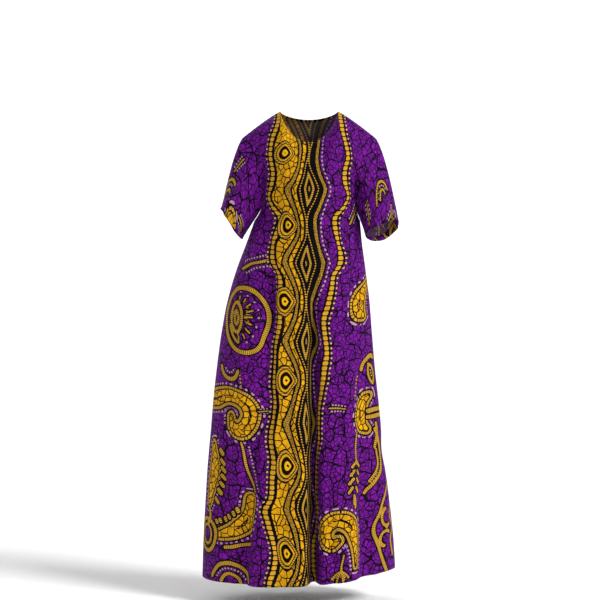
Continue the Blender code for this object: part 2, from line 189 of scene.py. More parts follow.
def curve_through(at, values, t):
    """A smooth curve through the values, level with its neighbours' slope at each."""
    slopes = np.gradient(values, at)
    cell = np.clip(np.searchsorted(at, t, side="right") - 1, 0, len(at) - 2)
    step = at[cell + 1] - at[cell]
    s = (t - at[cell]) / step
    rise = s * s * (3 - 2 * s)
    start = s * (1 - s) ** 2 * step
    end = -s * s * (1 - s) * step
    return values[cell] * (1 - rise) + values[cell + 1] * rise + slopes[cell] * start + slopes[cell + 1] * end


def section(name, z):
    """One column of the sections table at height z."""
    at = column(SECTIONS, SECTION_COLUMNS, "z")[::-1]
    values = column(SECTIONS, SECTION_COLUMNS, name)[::-1]
    return curve_through(at, values, np.clip(z, at[0], at[-1]))


def skirt_point(face, u, down):
    """The smooth form below the underarm. u runs from -1 at the right side seam to 1 at the left one."""
    hem = curve_through(column(HEM, HEM_COLUMNS, "u"), column(HEM, HEM_COLUMNS, "z"), u)
    z = UNDERARM_Z + down * (hem - UNDERARM_Z)
    right, left = section("right", z), section("left", z)
    out = section(face, z) * (-1 if face == "front" else 1)
    angle = u * np.pi / 2
    x = (right + left) / 2 + (left - right) / 2 * np.sin(angle)
    return np.stack([x, out * np.cos(angle), z], axis=-1)


def top_edge(face, u):
    """The neckline, and beyond it the shoulder seam out to the top of the armhole."""
    if face == "front":
        drop, depth = FRONT_NECK_DROP, -FRONT_NECK_DEPTH
    else:
        drop, depth = BACK_NECK_DROP, BACK_NECK_DEPTH
    side = np.sign(u)
    round_neck = np.clip(np.abs(u) / NECK_SHARE, 0, 1) * np.pi / 2
    along = np.clip((np.abs(u) - NECK_SHARE) / (1 - NECK_SHARE), 0, 1)
    x = side * (NECK_HALF_WIDTH * np.sin(round_neck) + (SHOULDER_TIP_X - NECK_HALF_WIDTH) * along)
    z = -drop * np.cos(round_neck) ** NECK_ROUNDNESS - SHOULDER_TIP_DROP * along ** SHOULDER_BEND
    return np.stack([x, depth * np.cos(round_neck), z], axis=-1), round_neck, along


def yoke_point(face, u, t):
    """The smooth form from the top edge, at t 0, down to the underarm level, at t 1."""
    top, round_neck, along = top_edge(face, u)
    forward, middle = (-1, YOKE_FRONT) if face == "front" else (1, YOKE_BACK)
    steep = np.radians(SHOULDER_SLOPE + NECK_SLOPE * np.cos(round_neck) ** 2 + TIP_SLOPE * along ** 2)
    leave = np.stack([0 * u, forward * np.cos(steep), -np.sin(steep)], axis=-1)
    stand = middle + (YOKE_TIP - middle) * np.abs(u) ** YOKE_TIP_POWER
    reach = ((stand - np.abs(top[..., 1])) / np.cos(steep))[..., None]
    low = skirt_point(face, u, 0 * u)
    rise = unit(low - skirt_point(face, u, 0 * u + SKIRT_STEP))
    points = (top, top + leave * reach, low + rise * YOKE_RISE, low)
    t = t[..., None]
    weights = ((1 - t) ** 3, 3 * t * (1 - t) ** 2, 3 * t * t * (1 - t), t ** 3)
    return sum(point * weight for point, weight in zip(points, weights))


def fold_depth(face, x, z):
    """How far the folds push the cloth inwards at x, z."""
    table = FRONT_FOLDS if face == "front" else BACK_FOLDS
    total = np.zeros_like(x)
    for fold in rows_of(table, FOLD_COLUMNS):
        s = (fold["z_top"] - z) / (fold["z_top"] - fold["z_low"])
        dies_away = fold["z_low"] > min(z for _, z in HEM)
        shown = ease(s / FOLD_START) * (ease((1 - s) / FOLD_END) if dies_away else 1)
        s = np.clip(s, 0, 1)
        off = x - (fold["x_top"] + (fold["x_low"] - fold["x_top"]) * s)
        spread = np.where(off < 0, fold["side_right"], fold["side_left"])
        depth = fold["depth_top"] + (fold["depth_low"] - fold["depth_top"]) * s
        total += shown * depth / (1 + np.abs(off / spread) ** FOLD_STEEPNESS)
    return total


def smooth_form(face, u, v):
    """The cloth without its folds. v runs from 0 at the top edge to 1 at the underarm and 2 at the hem."""
    yoke = yoke_point(face, u, np.clip(v, 0, 1))
    skirt = skirt_point(face, u, np.clip(v - 1, 0, 1))
    return np.where((v < 1)[..., None], yoke, skirt)


def cloth_point(face, u, v):
    """The cloth's middle surface, with its folds."""
    u, v = np.broadcast_arrays(np.asarray(u, float), np.asarray(v, float))
    points = smooth_form(face, u, v)
    clear_of_seams = (1 - np.abs(u) ** SEAM_HOLD) * ease(v / TOP_HOLD)
    inwards = 1 if face == "front" else -1
    points[..., 1] += inwards * clear_of_seams * fold_depth(face, points[..., 0], points[..., 2])
    return points


def armhole_u(v):
    """Where a panel ends at height v: at the armhole's curve, and below it at the side seam."""
    v = np.clip(v, 0, 1)
    return 1 - ARMHOLE_SHARE * v ** 1.5 * np.sqrt(1 - v) / ARMHOLE_PEAK


def row_heights():
    """Rows crowd towards the shoulder and the underarm, and are even below."""
    yoke = (1 - np.cos(np.linspace(0, np.pi, YOKE_ROWS + 1))) / 2
    return np.concatenate([yoke, 1 + np.linspace(0, 1, SKIRT_ROWS + 1)[1:]])


def row_columns(face, v):
    """Where the columns cross a row: even along the cloth, and closer together where it turns."""
    end = armhole_u(v)
    u = np.linspace(-end, end, ROW_SAMPLES)
    steps = np.diff(cloth_point(face, u, v), axis=0)
    lengths = np.linalg.norm(steps, axis=1)
    turns = np.arccos(np.clip((unit(steps)[1:] * unit(steps)[:-1]).sum(1), -1, 1))
    weights = lengths + TURN_LENGTH * np.concatenate([turns, turns[-1:]])
    along = np.concatenate([[0], np.cumsum(weights)]) / weights.sum()
    even = (u / end + 1) / 2
    share = ease(v / EVEN_SHARE)
    return np.interp(np.linspace(0, 1, PANEL_COLUMNS + 1), (1 - share) * even + share * along, u)


def slopes_of(face, u, v):
    """Unit steps of the cloth along its rows and down its columns."""
    tiny = 1e-4
    u0, u1 = np.maximum(u - tiny, -1), np.minimum(u + tiny, 1)
    v0, v1 = np.maximum(v - tiny, 0), np.minimum(v + tiny, 2)
    across = cloth_point(face, u1, v) - cloth_point(face, u0, v)
    down = cloth_point(face, u, v1) - cloth_point(face, u, v0)
    return unit(across), unit(down)


def flat_places(face, u, v, points):
    """Each point's place on the flat cloth: across from the border's middle, and up from the underarm."""
    across = run_along(points.swapaxes(0, 1)).T
    fallen = BORDER_DRIFT_FROM - points[:, points.shape[1] // 2, 2]
    drift = BORDER_DRIFT[face] * ease(fallen / BORDER_DRIFT_FALL)
    middle = np.array([np.interp(at, row[:, 0], run) for at, row, run in zip(drift, points, across)])
    across = across - middle[:, None]
    samples = np.linspace(-1, 1, FORM_SAMPLES)
    height = -run_along(smooth_form(face, *np.meshgrid(samples, v[:, 0])))
    height -= height[YOKE_ROWS]
    up = np.array([np.interp(at, samples, row) for at, row in zip(u, height)])
    return np.stack([across, up], axis=-1)


def panel(face):
    """A panel's grid from the top edge to the hem: its points, outward normals and flat places."""
    v = row_heights()
    u = np.array([row_columns(face, height) for height in v])
    v = np.repeat(v[:, None], u.shape[1], axis=1)
    points = cloth_point(face, u, v)
    across, down = slopes_of(face, u, v)
    outwards = unit(np.cross(down, across) if face == "front" else np.cross(across, down))
    along_y = np.array([0.0, 1.0, 0.0])
    seam = np.abs(u[0]) >= NECK_SHARE
    ridge = unit(np.gradient(points[0], axis=0))
    outwards[0, seam] = unit(np.cross(ridge, along_y))[seam]
    for edge, side in ((0, -1), (-1, 1)):
        below = slice(YOKE_ROWS, None)
        fall = unit(np.gradient(points[below, edge], axis=0))
        outwards[below, edge] = unit(np.cross(fall, along_y)) * side
    return points, outwards, flat_places(face, u, v, points)


grids = {face: panel(face) for face in ("front", "back")}

# The print. A border of waves runs down the middle of the cloth, with a dark spine and with eyes in its right
# half, and scrolls, rings and leaves are scattered beside it. Wax resist leaves gold shapes with thin cross
# lines, dark outlines and rows of dots. Each printed shape is a stroke drawn on the flat cloth.

# Heights of the eyes down the front, where the phase of the border is a whole number.
EYE_HEIGHTS = (-0.125, -0.335, -0.557, -0.781, -1.030, -1.280)
# An eye: how far its middle is from the border's, and its half width and height. The one on the chest is
# larger, and the size changes over CHEST_PHASE of the repeat below it. NO_EYE is so far off that none shows.
EYE = (0.060, 0.031, 0.044)
CHEST_EYE = (0.094, 0.044, 0.036)
CHEST_PHASE = 0.9
EYE_ROUNDNESS = {"outer": 2.3, "inner": 1.2}
NO_EYE = 9
BORDER_REPEAT = 0.245
# Lines of the border: how far each is from the middle at an eye, and how much further at the kink between.
BORDER_LINES = {
    "wave": (0.030, 0.042),
    "strip": (0.019, 0.033),
    "zone": (0.009, 0.030),
    "pips": (0.001, 0.028),
    "zigzag": (-0.011, 0.024),
    "spine": (-0.023, 0.026),
}
# On the left half of the border the gold gives way to the purple, and the wave lies closer in. Its black zone
# reaches further out there, where it lies in the front's centre pleat: partly print, partly painted shade of
# the pleat.
LEFT_LINES = {"wave": (0.029, 0.030), "strip": (-1.0, 0.0), "zone": (0.019, 0.028)}
# The chain of blocks outside: how many eyes down from the chest, and how far from the middle. It swings out
# between the eyes. On the right half the rail lies just inside it. On the left half there is no rail, and the
# chain draws in by LEFT_CHAIN_SHIFT below the waist, where the pleat takes up the cloth.
CHAIN_COLUMNS = ("eyes_down", "off")
CHAIN_COURSE = (
    (-0.90, 0.165), (-0.42, 0.165), (0.00, 0.156), (0.30, 0.130), (0.49, 0.128), (0.61, 0.134),
    (0.73, 0.118), (0.89, 0.089), (1.03, 0.088), (1.17, 0.095), (1.36, 0.107), (1.52, 0.107),
    (1.66, 0.085), (1.81, 0.077), (2.11, 0.079), (2.41, 0.087), (2.67, 0.098), (2.96, 0.103),
    (3.26, 0.098), (3.53, 0.106), (3.71, 0.111), (3.91, 0.103), (4.19, 0.101), (4.37, 0.108),
    (4.50, 0.125), (4.67, 0.114), (4.84, 0.102), (5.00, 0.099), (5.22, 0.103), (5.50, 0.118),
    (5.90, 0.102),
)
RAIL_INSIDE = 0.0165
LEFT_CHAIN_SHIFT = 0.034
LEFT_CHAIN_FROM = -0.25
LEFT_CHAIN_FALL = 0.60
KINK_SHARPNESS = 1.25
# The mesh holds the distances from the border's lines three to an attribute.
BORDER_FIELDS = {
    "outer": ("chain", "rail", "wave"),
    "inner": ("strip", "zone", "zigzag"),
    "core": ("spine", "pips", "eye"),
}
# How far round a stroke its distance is worked out, and for how many places at a time, to spare memory.
STROKE_REACH = 0.034
STROKE_BATCH = 4000
# A field where no stroke is near: a metre off.
NO_STROKE = (1.0, 0, 0, 0, 0, 0)
# What a row of dots is marked with.
GOLD_DOTS = 0.0
LILAC_DOTS = 1.0
# The lines waver as hand-drawn ones do: each wave's length across and up, its size and where it starts.
WAVER_COLUMNS = ("across", "up", "size", "start")
WAVER = (
    (0.310, 0.140, 0.0022, 0.4),
    (0.130, 0.170, 0.0013, 2.1),
    (0.070, 0.062, 0.0005, 4.4),
)
WAVER_LAG = 1.7


def hand_drawn(places):
    """The places on the cloth, shifted a little so that what is drawn there wavers."""
    shift = np.zeros_like(places)
    for wave in rows_of(WAVER, WAVER_COLUMNS):
        turn = 2 * np.pi * (places[:, 0] / wave["across"] + places[:, 1] / wave["up"])
        sway = np.sin(turn + wave["start"]), np.cos(turn + WAVER_LAG * wave["start"])
        shift += wave["size"] * np.stack(sway, axis=1)
    return places + shift


def smooth_path(points, count=48):
    """A smooth curve through a motif's own points."""
    points = np.array(points, float)
    at = np.arange(len(points), dtype=float)
    t = np.linspace(0, len(points) - 1, count)
    return np.stack([curve_through(at, points[:, axis], t) for axis in range(points.shape[1])], axis=1)


def round_path(middle, radius, start, end, squash=1.0, count=40):
    """An arc from one angle to another, in degrees."""
    angles = np.radians(np.linspace(start, end, count))
    turn = np.stack([np.cos(angles), squash * np.sin(angles)], axis=1)
    return np.array(middle, float) + turn * radius


def almond_path(middle, half_length, half_width, count=40):
    """A closed leaf outline, standing upright."""
    t = np.linspace(0, 2 * np.pi, count)
    x = half_width * np.sin(t) * (0.55 + 0.45 * np.abs(np.sin(t)))
    return np.stack([middle[0] + x, middle[1] + half_length * np.cos(t)], axis=1)


def thick(*points, count=48):
    """A filled shape along a smooth path. Its points hold x, y and half width."""
    path = smooth_path(points, count)
    return "body", path[:, :2], path[:, 2]


def line(half_width, *points, count=48):
    """A hatched line along a smooth path."""
    return "line", smooth_path(points, count), half_width


def bar(half_width, start, end):
    """A straight hatched line."""
    return "line", np.array([start, end]), half_width


def sun_ring():
    """A tall ring round a leaf, with dotted rays on one side."""
    tall = (0.86, 1.06)
    leaf = (-0.30, 0.06)
    yield "line", round_path((0, 0), 1.0, 0, 360, count=96) * tall, 0.074
    yield "line", almond_path(leaf, 0.46, 0.26), 0.052
    yield "line", almond_path(leaf, 0.20, 0.09), 0.034
    for angle in np.radians(range(-84, 85, 21)):
        way = np.array([np.cos(angle), np.sin(angle)])
        start = np.array([-0.26, 0.06]) + way * (0.36 + 0.20 * abs(way[1]))
        reach = way * 0.46 * (1.1 - 0.45 * abs(way[1]))
        yield bar(0.026, start, start + reach * 0.45)
        yield "dots", np.array([start + reach * 0.75, start + reach]), LILAC_DOTS
    yield "line", round_path((0, 0), 0.74, 196, 250) * tall, 0.048


def crescent():
    """A bowl-shaped arc with dots in it."""
    yield "line", round_path((0, 0.5), 1.0, 196, 338), 0.15
    yield "dots", round_path((0, 0.5), 0.55, 205, 330), LILAC_DOTS
    yield "dots", np.array([(1.10, 0.30), (1.22, -0.85)]), GOLD_DOTS


def scroll():
    """A thick scroll that sweeps in from the side and curls under."""
    yield thick((-2.1, 0.34, 0.26), (-1.2, 0.48, 0.25), (-0.4, 0.62, 0.23), (0.26, 0.42, 0.24),
                (0.54, -0.12, 0.25), (0.26, -0.62, 0.24), (-0.24, -0.62, 0.19), (-0.38, -0.22, 0.10),
                count=72)


def paisley():
    """A fat leaf with a bent tip."""
    yield thick((0.70, -1.30, 0.03), (0.66, -0.70, 0.20), (0.40, -0.10, 0.34), (-0.06, 0.16, 0.30),
                (-0.46, 0.06, 0.12))


def comma():
    """A fat hooked comma with a long tail."""
    yield thick((0.74, -1.86, 0.02), (0.72, -1.30, 0.10), (0.62, -0.72, 0.19), (0.28, -0.02, 0.27),
                (-0.32, 0.26, 0.28), (-0.80, 0.00, 0.26), (-0.92, -0.46, 0.24), (-0.62, -0.80, 0.17),
                (-0.26, -0.62, 0.08), count=72)


def half_moon():
    """A half-round medallion with a pair of bars across its open side."""
    yield thick((0.26, 0.78, 0.06), (-0.08, 0.54, 0.20), (-0.26, 0.0, 0.31), (-0.08, -0.54, 0.20),
                (0.26, -0.78, 0.06))
    yield bar(0.095, (0.22, 0.13), (1.6, 0.19))
    yield bar(0.095, (0.22, -0.17), (1.6, -0.11))
    yield line(0.090, (0.80, -0.50), (0.92, -0.95), (0.86, -1.6))


def feather():
    """A tall leaf with beads beside one edge, and a bent stalk."""
    leaf = thick((0.0, 1.0, 0.04), (0.05, 0.5, 0.17), (0.0, 0.0, 0.20), (-0.10, -0.5, 0.15),
                 (-0.3, -1.0, 0.04))
    yield leaf
    for share in np.linspace(0.10, 0.92, 7):
        x, y = leaf[1][int(share * (len(leaf[1]) - 1))]
        yield bar(0.066, (x + 0.38, y + 0.02), (x + 0.50, y - 0.10))
    yield line(0.060, (-0.30, -1.1), (-0.22, -1.4), (-0.30, -1.7))


def winged_scroll():
    """A winged shape that rises from a ring, with beads along its upper edge."""
    wing = thick((-1.02, -0.46, 0.05), (-0.70, -0.36, 0.12), (-0.28, -0.20, 0.19), (0.10, 0.06, 0.22),
                 (0.32, 0.46, 0.17), (0.36, 0.82, 0.16), count=60)
    yield wing
    yield "line", round_path((-1.50, -0.50), 0.50, 0, 360), 0.062
    yield "line", round_path((-1.50, -0.50), 0.28, 0, 360), 0.040
    for share in np.linspace(0.16, 0.62, 6):
        x, y = wing[1][int(share * (len(wing[1]) - 1))]
        yield bar(0.062, (x - 0.20, y + 0.36), (x - 0.24, y + 0.44))
    yield bar(0.055, (-0.62, -0.82), (0.30, -0.64))


def twin_arcs():
    """Two arcs, one inside the other, with dots between them."""
    yield "line", round_path((0, 0), 1.0, 12, 168, 0.9), 0.085
    yield "dots", round_path((0, 0), 0.74, 16, 164, 0.9), LILAC_DOTS
    yield "line", round_path((0, 0), 0.46, 8, 172, 0.9), 0.075


def hooked_leaf():
    """A leaf under a bent rib, with dots that hang from it."""
    yield "line", round_path((0.10, 0.06), 0.78, 62, 196), 0.135
    yield line(0.085, (-0.16, 0.34), (0.26, 0.20), (0.62, -0.28), (0.74, -0.92), (0.34, -0.70), (0.0, -0.24),
               (-0.16, 0.34), count=56)
    yield "dots", smooth_path(((0.10, 0.02), (0.30, -0.24), (0.46, -0.52)), 20), GOLD_DOTS
    yield "dots", np.array([(-0.78, -0.55), (-0.82, -1.9)]), GOLD_DOTS


def spray():
    """A stem with a head of bead-shaped leaves."""
    yield line(0.075, (0.1, 1.9), (0.0, 1.1), (0.06, 0.5))
    pairs = [(share, side) for share in (0.0, 0.22, 0.44, 0.66) for side in (-1, 1)]
    for share, side in (*pairs, (0.9, 0)):
        foot = np.array([0.06 + 0.15 * side, 0.55 - share * 1.9 - 0.05])
        yield bar(0.082, foot, foot + (0.22 * side, -0.20 - 0.1 * (side == 0)))
    yield line(0.080, (0.08, -1.15), (0.2, -1.4), (0.18, -1.7))


def long_frond():
    """A long curved band with a shorter one on its inner side."""
    yield line(0.085, (-0.1, 1.5), (0.25, 1.0), (0.55, 0.3), (0.45, -0.4), (0.05, -1.0), (-0.35, -1.35),
               count=60)
    yield line(0.060, (0.16, 0.55), (0.26, 0.05), (0.12, -0.45), (-0.16, -0.86))


def twig():
    """A forked twig with bead tips."""
    yield line(0.070, (0.1, 1.3), (0.0, 0.6), (0.05, 0.0))
    for x, y in ((-0.62, -0.5), (-0.22, -0.75), (0.30, -0.72), (0.72, -0.42)):
        yield line(0.075, (0.05, 0.05), (x * 0.6, y * 0.35), (x, y), count=16)
        yield "dots", np.array([(x * 1.28, y * 1.2), (x * 1.3, y * 1.22)]), GOLD_DOTS


def lozenge():
    """One side of a tall diamond, with arcs and a wavy line inside it."""
    yield line(0.064, (0.72, 1.55), (0.35, 0.8), (-0.05, 0.0), (0.40, -0.85), (0.85, -1.7), count=60)
    yield "line", round_path((0.64, 0.36), 0.30, 100, 300), 0.060
    yield "line", round_path((0.64, -0.44), 0.30, 60, 260), 0.060
    yield line(0.060, (1.15, 1.0), (0.95, 0.4), (1.2, 0.0), (0.95, -0.5), (1.2, -1.1))


def ladder():
    """A straight stem with cross lines, and dots on both sides."""
    yield bar(0.085, (-1.0, 0.0), (1.0, 0.0))
    for side in (0.34, -0.34):
        yield "dots", np.array([(-0.8, side), (0.9, side)]), LILAC_DOTS


def dotted_stem():
    """A thin stem that leans down to the side, with a row of dots beside it."""
    yield line(0.050, (-0.3, 1.0), (-0.1, 0.2), (0.3, -1.0), count=30)
    yield "dots", smooth_path(((0.02, 0.9), (0.20, 0.1), (0.56, -0.9)), 30), LILAC_DOTS


# Where the motifs lie, as the dress hangs: the motif, x and z of its middle, its turn in degrees, its size.
MOTIF_COLUMNS = ("motif", "x", "z", "turn", "size")
FRONT_MOTIFS = (
    (ladder, -0.160, -0.446, 20, 0.050),
    (sun_ring, -0.190, -0.605, 0, 0.090),
    (crescent, -0.234, -0.756, -6, 0.040),
    (scroll, -0.206, -0.878, 0, 0.072),
    (ladder, -0.132, -0.872, 4, 0.016),
    (dotted_stem, -0.178, -1.036, 0, 0.070),
    (feather, -0.280, -1.060, 0, 0.086),
    (winged_scroll, -0.196, -1.206, 0, 0.088),
    (ladder, -0.124, -1.166, 0, 0.014),
    (twin_arcs, -0.228, -1.380, 0, 0.066),
    (ladder, 0.130, -0.300, 60, 0.036),
    (paisley, 0.150, -0.575, 130, 0.056),
    (hooked_leaf, 0.172, -0.750, -8, 0.046),
    (ladder, 0.080, -0.868, -3, 0.026),
    (half_moon, 0.160, -0.886, 0, 0.062),
    (spray, 0.134, -1.050, 0, 0.058),
    (long_frond, 0.190, -1.030, 0, 0.064),
    (comma, 0.104, -1.204, 0, 0.064),
    (lozenge, 0.190, -1.215, 0, 0.078),
    (twig, 0.092, -1.338, 0, 0.038),
)
BACK_MOTIFS = (
    (ladder, -0.150, -0.300, -60, 0.034),
    (hooked_leaf, -0.145, -0.420, 10, 0.046),
    (crescent, 0.150, -0.330, 10, 0.040),
    (sun_ring, 0.176, -0.560, 180, 0.086),
    (scroll, -0.196, -0.640, 0, 0.074),
    (crescent, 0.164, -0.720, 8, 0.042),
    (feather, -0.196, -0.860, 0, 0.086),
    (half_moon, 0.160, -0.880, 0, 0.062),
    (comma, -0.180, -1.100, 20, 0.064),
    (winged_scroll, 0.184, -1.110, 180, 0.070),
    (lozenge, -0.276, -1.160, 0, 0.070),
    (spray, -0.200, -1.290, 0, 0.046),
    (twin_arcs, 0.170, -1.340, 0, 0.062),
    (long_frond, 0.226, -1.260, 0, 0.052),
    (twig, -0.290, -0.900, 0, 0.036),
)


def lay_stroke(field, places, path, half_width, mark):
    """Keeps the stroke whose edge is nearest to each place.

    A field holds how far off the edge the place is, how far along, the stroke's mark, the step aside from the
    stroke's middle line, and its half width. The length along runs on past both ends, so that hatching does.
    """
    half_width = np.broadcast_to(half_width, len(path))
    reach = STROKE_REACH + half_width.max()
    close = np.flatnonzero(((places > path.min(0) - reach) & (places < path.max(0) + reach)).all(1))
    start, step = path[:-1], np.diff(path, axis=0)
    lengths = np.maximum(np.linalg.norm(step, axis=1), 1e-9)
    along = np.concatenate([[0], np.cumsum(lengths)])[:-1]
    for part in np.array_split(close, max(1, len(close) // STROKE_BATCH)):
        away = places[part, None] - start
        run = (away * step).sum(2) / lengths ** 2
        share = np.clip(run, 0, 1)
        aside = away - share[..., None] * step
        wide = half_width[:-1] + share * np.diff(half_width)
        off = np.linalg.norm(aside, axis=2) - wide
        share[:, 0] = np.minimum(run[:, 0], share[:, 0])
        share[:, -1] = np.maximum(run[:, -1], share[:, -1])
        at = np.arange(len(part)), off.argmin(1)
        length = along[at[1]] + share[at] * lengths[at[1]]
        found = np.column_stack([off[at], length, np.full(len(part), mark), aside[at], wide[at]])
        nearer = found[:, 0] < field[part, 0]
        field[part[nearer]] = found[nearer]


def motif_fields(places, layout, where):
    """The printed shapes as fields on the cloth: thick bodies, hatched lines, and rows of dots."""
    fields = {kind: np.tile(NO_STROKE, (len(places), 1)) for kind in ("body", "line", "dots")}
    for row in rows_of(layout, MOTIF_COLUMNS):
        turn = np.radians(row["turn"])
        frame_of = np.array([(np.cos(turn), -np.sin(turn)), (np.sin(turn), np.cos(turn))])
        middle = where(row["x"], row["z"])
        for kind, path, value in row["motif"]():
            laid = middle + path @ frame_of.T * row["size"]
            if kind == "dots":
                lay_stroke(fields["dots"], places, laid, 0.0, value)
            else:
                lay_stroke(fields[kind], places, laid, np.asarray(value) * row["size"], 1.0)
    asides = {kind + "_aside": fields[kind][:, 3:] for kind in ("line", "dots")}
    return {kind: field[:, :3] for kind, field in fields.items()} | asides


def border_fields(places, phase):
    """Distances from the border's lines, and how far each place is from the middle of its eye, in eyes."""
    off = np.abs(places[:, 0])
    left_half = places[:, 0] > 0
    kink = 1 - np.abs(np.cos(np.pi * phase)) ** KINK_SHARPNESS
    lines = {name: off - (at_eye + further * kink) for name, (at_eye, further) in BORDER_LINES.items()}
    for name, (at_eye, further) in LEFT_LINES.items():
        lines[name] = np.where(left_half, off - (at_eye + further * kink), lines[name])
    course = [column(CHAIN_COURSE, CHAIN_COLUMNS, name) for name in CHAIN_COLUMNS]
    chain = off - curve_through(*course, np.clip(phase, course[0][0], course[0][-1]))
    lines["rail"] = np.where(left_half, 1.0, chain + RAIL_INSIDE)
    drawn_in = LEFT_CHAIN_SHIFT * ease((LEFT_CHAIN_FROM - places[:, 1]) / LEFT_CHAIN_FALL)
    lines["chain"] = chain + np.where(left_half, drawn_in, 0)
    chest = ease(1 - phase / CHEST_PHASE)
    place, half_width, half_height = (low + (high - low) * chest for low, high in zip(EYE, CHEST_EYE))
    beside = (off - place) / half_width
    above = (phase - np.round(phase)) * BORDER_REPEAT / half_height
    roundness = np.where(beside > 0, EYE_ROUNDNESS["outer"], EYE_ROUNDNESS["inner"])
    eye = (np.abs(beside) ** roundness + np.abs(above) ** roundness) ** (1 / roundness)
    lines["eye"] = np.minimum(np.where(left_half, NO_EYE, eye), NO_EYE)
    return {
        field: np.stack([lines[name] for name in names], axis=1)
        for field, names in BORDER_FIELDS.items()
    }


# The seams and hems. Raw edges are turned to the inside, 6 mm at a seam, 7 mm at the neck, 14 mm at a sleeve
# hem and 24 mm at the hem, so an edge is a small roll of cloth and a seam a shallow valley between two rolls.

CLOTH_THICKNESS = 0.0007
ROLL_DEPTH = 0.0009
LAYER_GAP = 0.0014
SEAM_ALLOWANCE = 0.006
SEAM_DIP = 0.0006
HEM_ROWS = 4
NECK_ROWS = 7
# The roll of a seam's edge and the allowance behind it: how deep each lies, and how far in from the edge.
SEAM_TURN = ((ROLL_DEPTH, 0.0002), (SEAM_ALLOWANCE, 0.0010))


def turned_seam(points, outwards, places, edge, inside):
    """Two more columns at a seam, from the edge on: the roll of the edge, and the allowance behind it."""
    across = unit(points[:, inside] - points[:, edge])
    away = unit(places[:, edge] - places[:, inside] + 1e-12)
    made = [points[:, edge] - outwards[:, edge] * depth + across * step for depth, step in SEAM_TURN]
    laid = [places[:, edge] + away * depth for depth, _ in SEAM_TURN]
    return np.stack(made, axis=1), np.stack(laid, axis=1)


def turned_rows(points, outwards, places, edge, inwards, count):
    """More rows at a hem or the neck, from the edge on: its roll, and a second layer behind the first."""
    behind = edge + inwards * np.arange(1, count + 1)
    roll = points[edge] - outwards[edge] * ROLL_DEPTH
    layer = points[behind] - outwards[behind] * LAYER_GAP
    laid = 2 * places[edge] - places[behind]
    return np.concatenate([[roll], layer]), np.concatenate([[places[edge]], laid])


def with_turned_edges(points, outwards, places):
    """The panel with its seams, neck and hem turned in."""
    dipped = points.copy()
    for edge in (0, -1):
        dipped[:, edge] -= outwards[:, edge] * SEAM_DIP
    right, right_places = turned_seam(dipped, outwards, places, 0, 1)
    left, left_places = turned_seam(dipped, outwards, places, -1, -2)
    points = np.concatenate([right[:, ::-1], dipped, left], axis=1)
    places = np.concatenate([right_places[:, ::-1], places, left_places], axis=1)
    outwards = np.concatenate([outwards[:, :1]] * 2 + [outwards] + [outwards[:, -1:]] * 2, axis=1)
    top, top_places = turned_rows(points, outwards, places, 0, 1, NECK_ROWS)
    low, low_places = turned_rows(points, outwards, places, -1, -1, HEM_ROWS)
    return np.concatenate([top[::-1], points, low]), np.concatenate([top_places[::-1], places, low_places])


def cloth_piece(name, points, places, fields, cut_from, round_tube, facing_out):
    """A sheet of cloth over a grid of points, with the print as attributes.

    Its UVs are its flat places, moved to where it is cut from the length of cloth.
    """
    rows, columns = points.shape[:2]
    index = np.arange(rows * columns).reshape(rows, columns)
    if round_tube:
        index = np.concatenate([index, index[:, :1]], axis=1)
    quads = np.stack([index[:-1, :-1], index[1:, :-1], index[1:, 1:], index[:-1, 1:]], axis=-1).reshape(-1, 4)
    if not facing_out:
        quads = quads[:, ::-1]
    mesh = bpy.data.meshes.new(name)
    mesh.from_pydata(points.reshape(-1, 3).tolist(), [], quads.tolist())
    mesh.shade_smooth()
    flat = mesh.uv_layers.new(name="flat_cloth")
    laid = places.reshape(-1, 2)[quads.ravel()] + cut_from
    flat.data.foreach_set("uv", laid.astype(np.float32).ravel())
    for field, values in fields.items():
        made = mesh.attributes.new("print_" + field, "FLOAT_VECTOR", "POINT")
        made.data.foreach_set("vector", values.astype(np.float32).ravel())
    piece = bpy.data.objects.new(name, mesh)
    bpy.context.scene.collection.objects.link(piece)
    thick = piece.modifiers.new("cloth thickness", "SOLIDIFY")
    thick.thickness = CLOTH_THICKNESS
    thick.offset = 0.0
    thick.material_offset = 1
    return piece


# The cloth. Plain-weave cotton, wax printed on both sides: matt, with a slight sheen where the wax finish is
# left, a fine even weave and a crackle where dye has run into the broken wax.

COLOURS = {
    "ink": "#070406",
    "deep purple": "#1C0528",
    "purple": "#4A0A64",
    "bright purple": "#7A1496",
    "gold": "#B47F0A",
    "bright gold": "#DEA60C",
    "hatched gold": "#BA8E2E",
    "faded gold": "#B8936C",
    "hatching": "#1A1008",
    "lilac": "#A87E9E",
    "reverse": "#8D7F86",
}
# The marbled colours: the two that the dye runs between, and the noise values where each is pure.
MARBLED = {
    "purple ground": (("purple", 0.34), ("bright purple", 0.66)),
    "marbled gold": (("gold", 0.38), ("bright gold", 0.66)),
}
# Crackle: cells per metre, and a factor and a step that make a crack's half width in cells out of a noise.
# The veins stand 37 mm apart, the thread veins 14 mm, and the hairlines, which are in the gold fills, 19 mm.
CRACK_COLUMNS = ("name", "cells", "factor", "step")
CRACKS = (
    ("vein", 27.0, 0.140, -0.018),
    ("thread vein", 72.0, 0.185, 0.002),
    ("hairline", 52.0, 0.120, 0.018),
)
# Where the step aside from a thin stroke's middle line is used for its edge.
NEAR_MIDDLE = 0.0055
# Hatching: the spacing of the cross lines, and the dark share of it.
HATCH_PITCH = 0.0056
HATCH_SHARE = 0.27
# Speckle: grains per metre, 2.4 mm apart, and a grain's radius in cells.
GRAINS = 420.0
GRAIN_RADIUS = 0.42
# How much of the chain's gold is dulled.
CHAIN_DULLED = 0.65
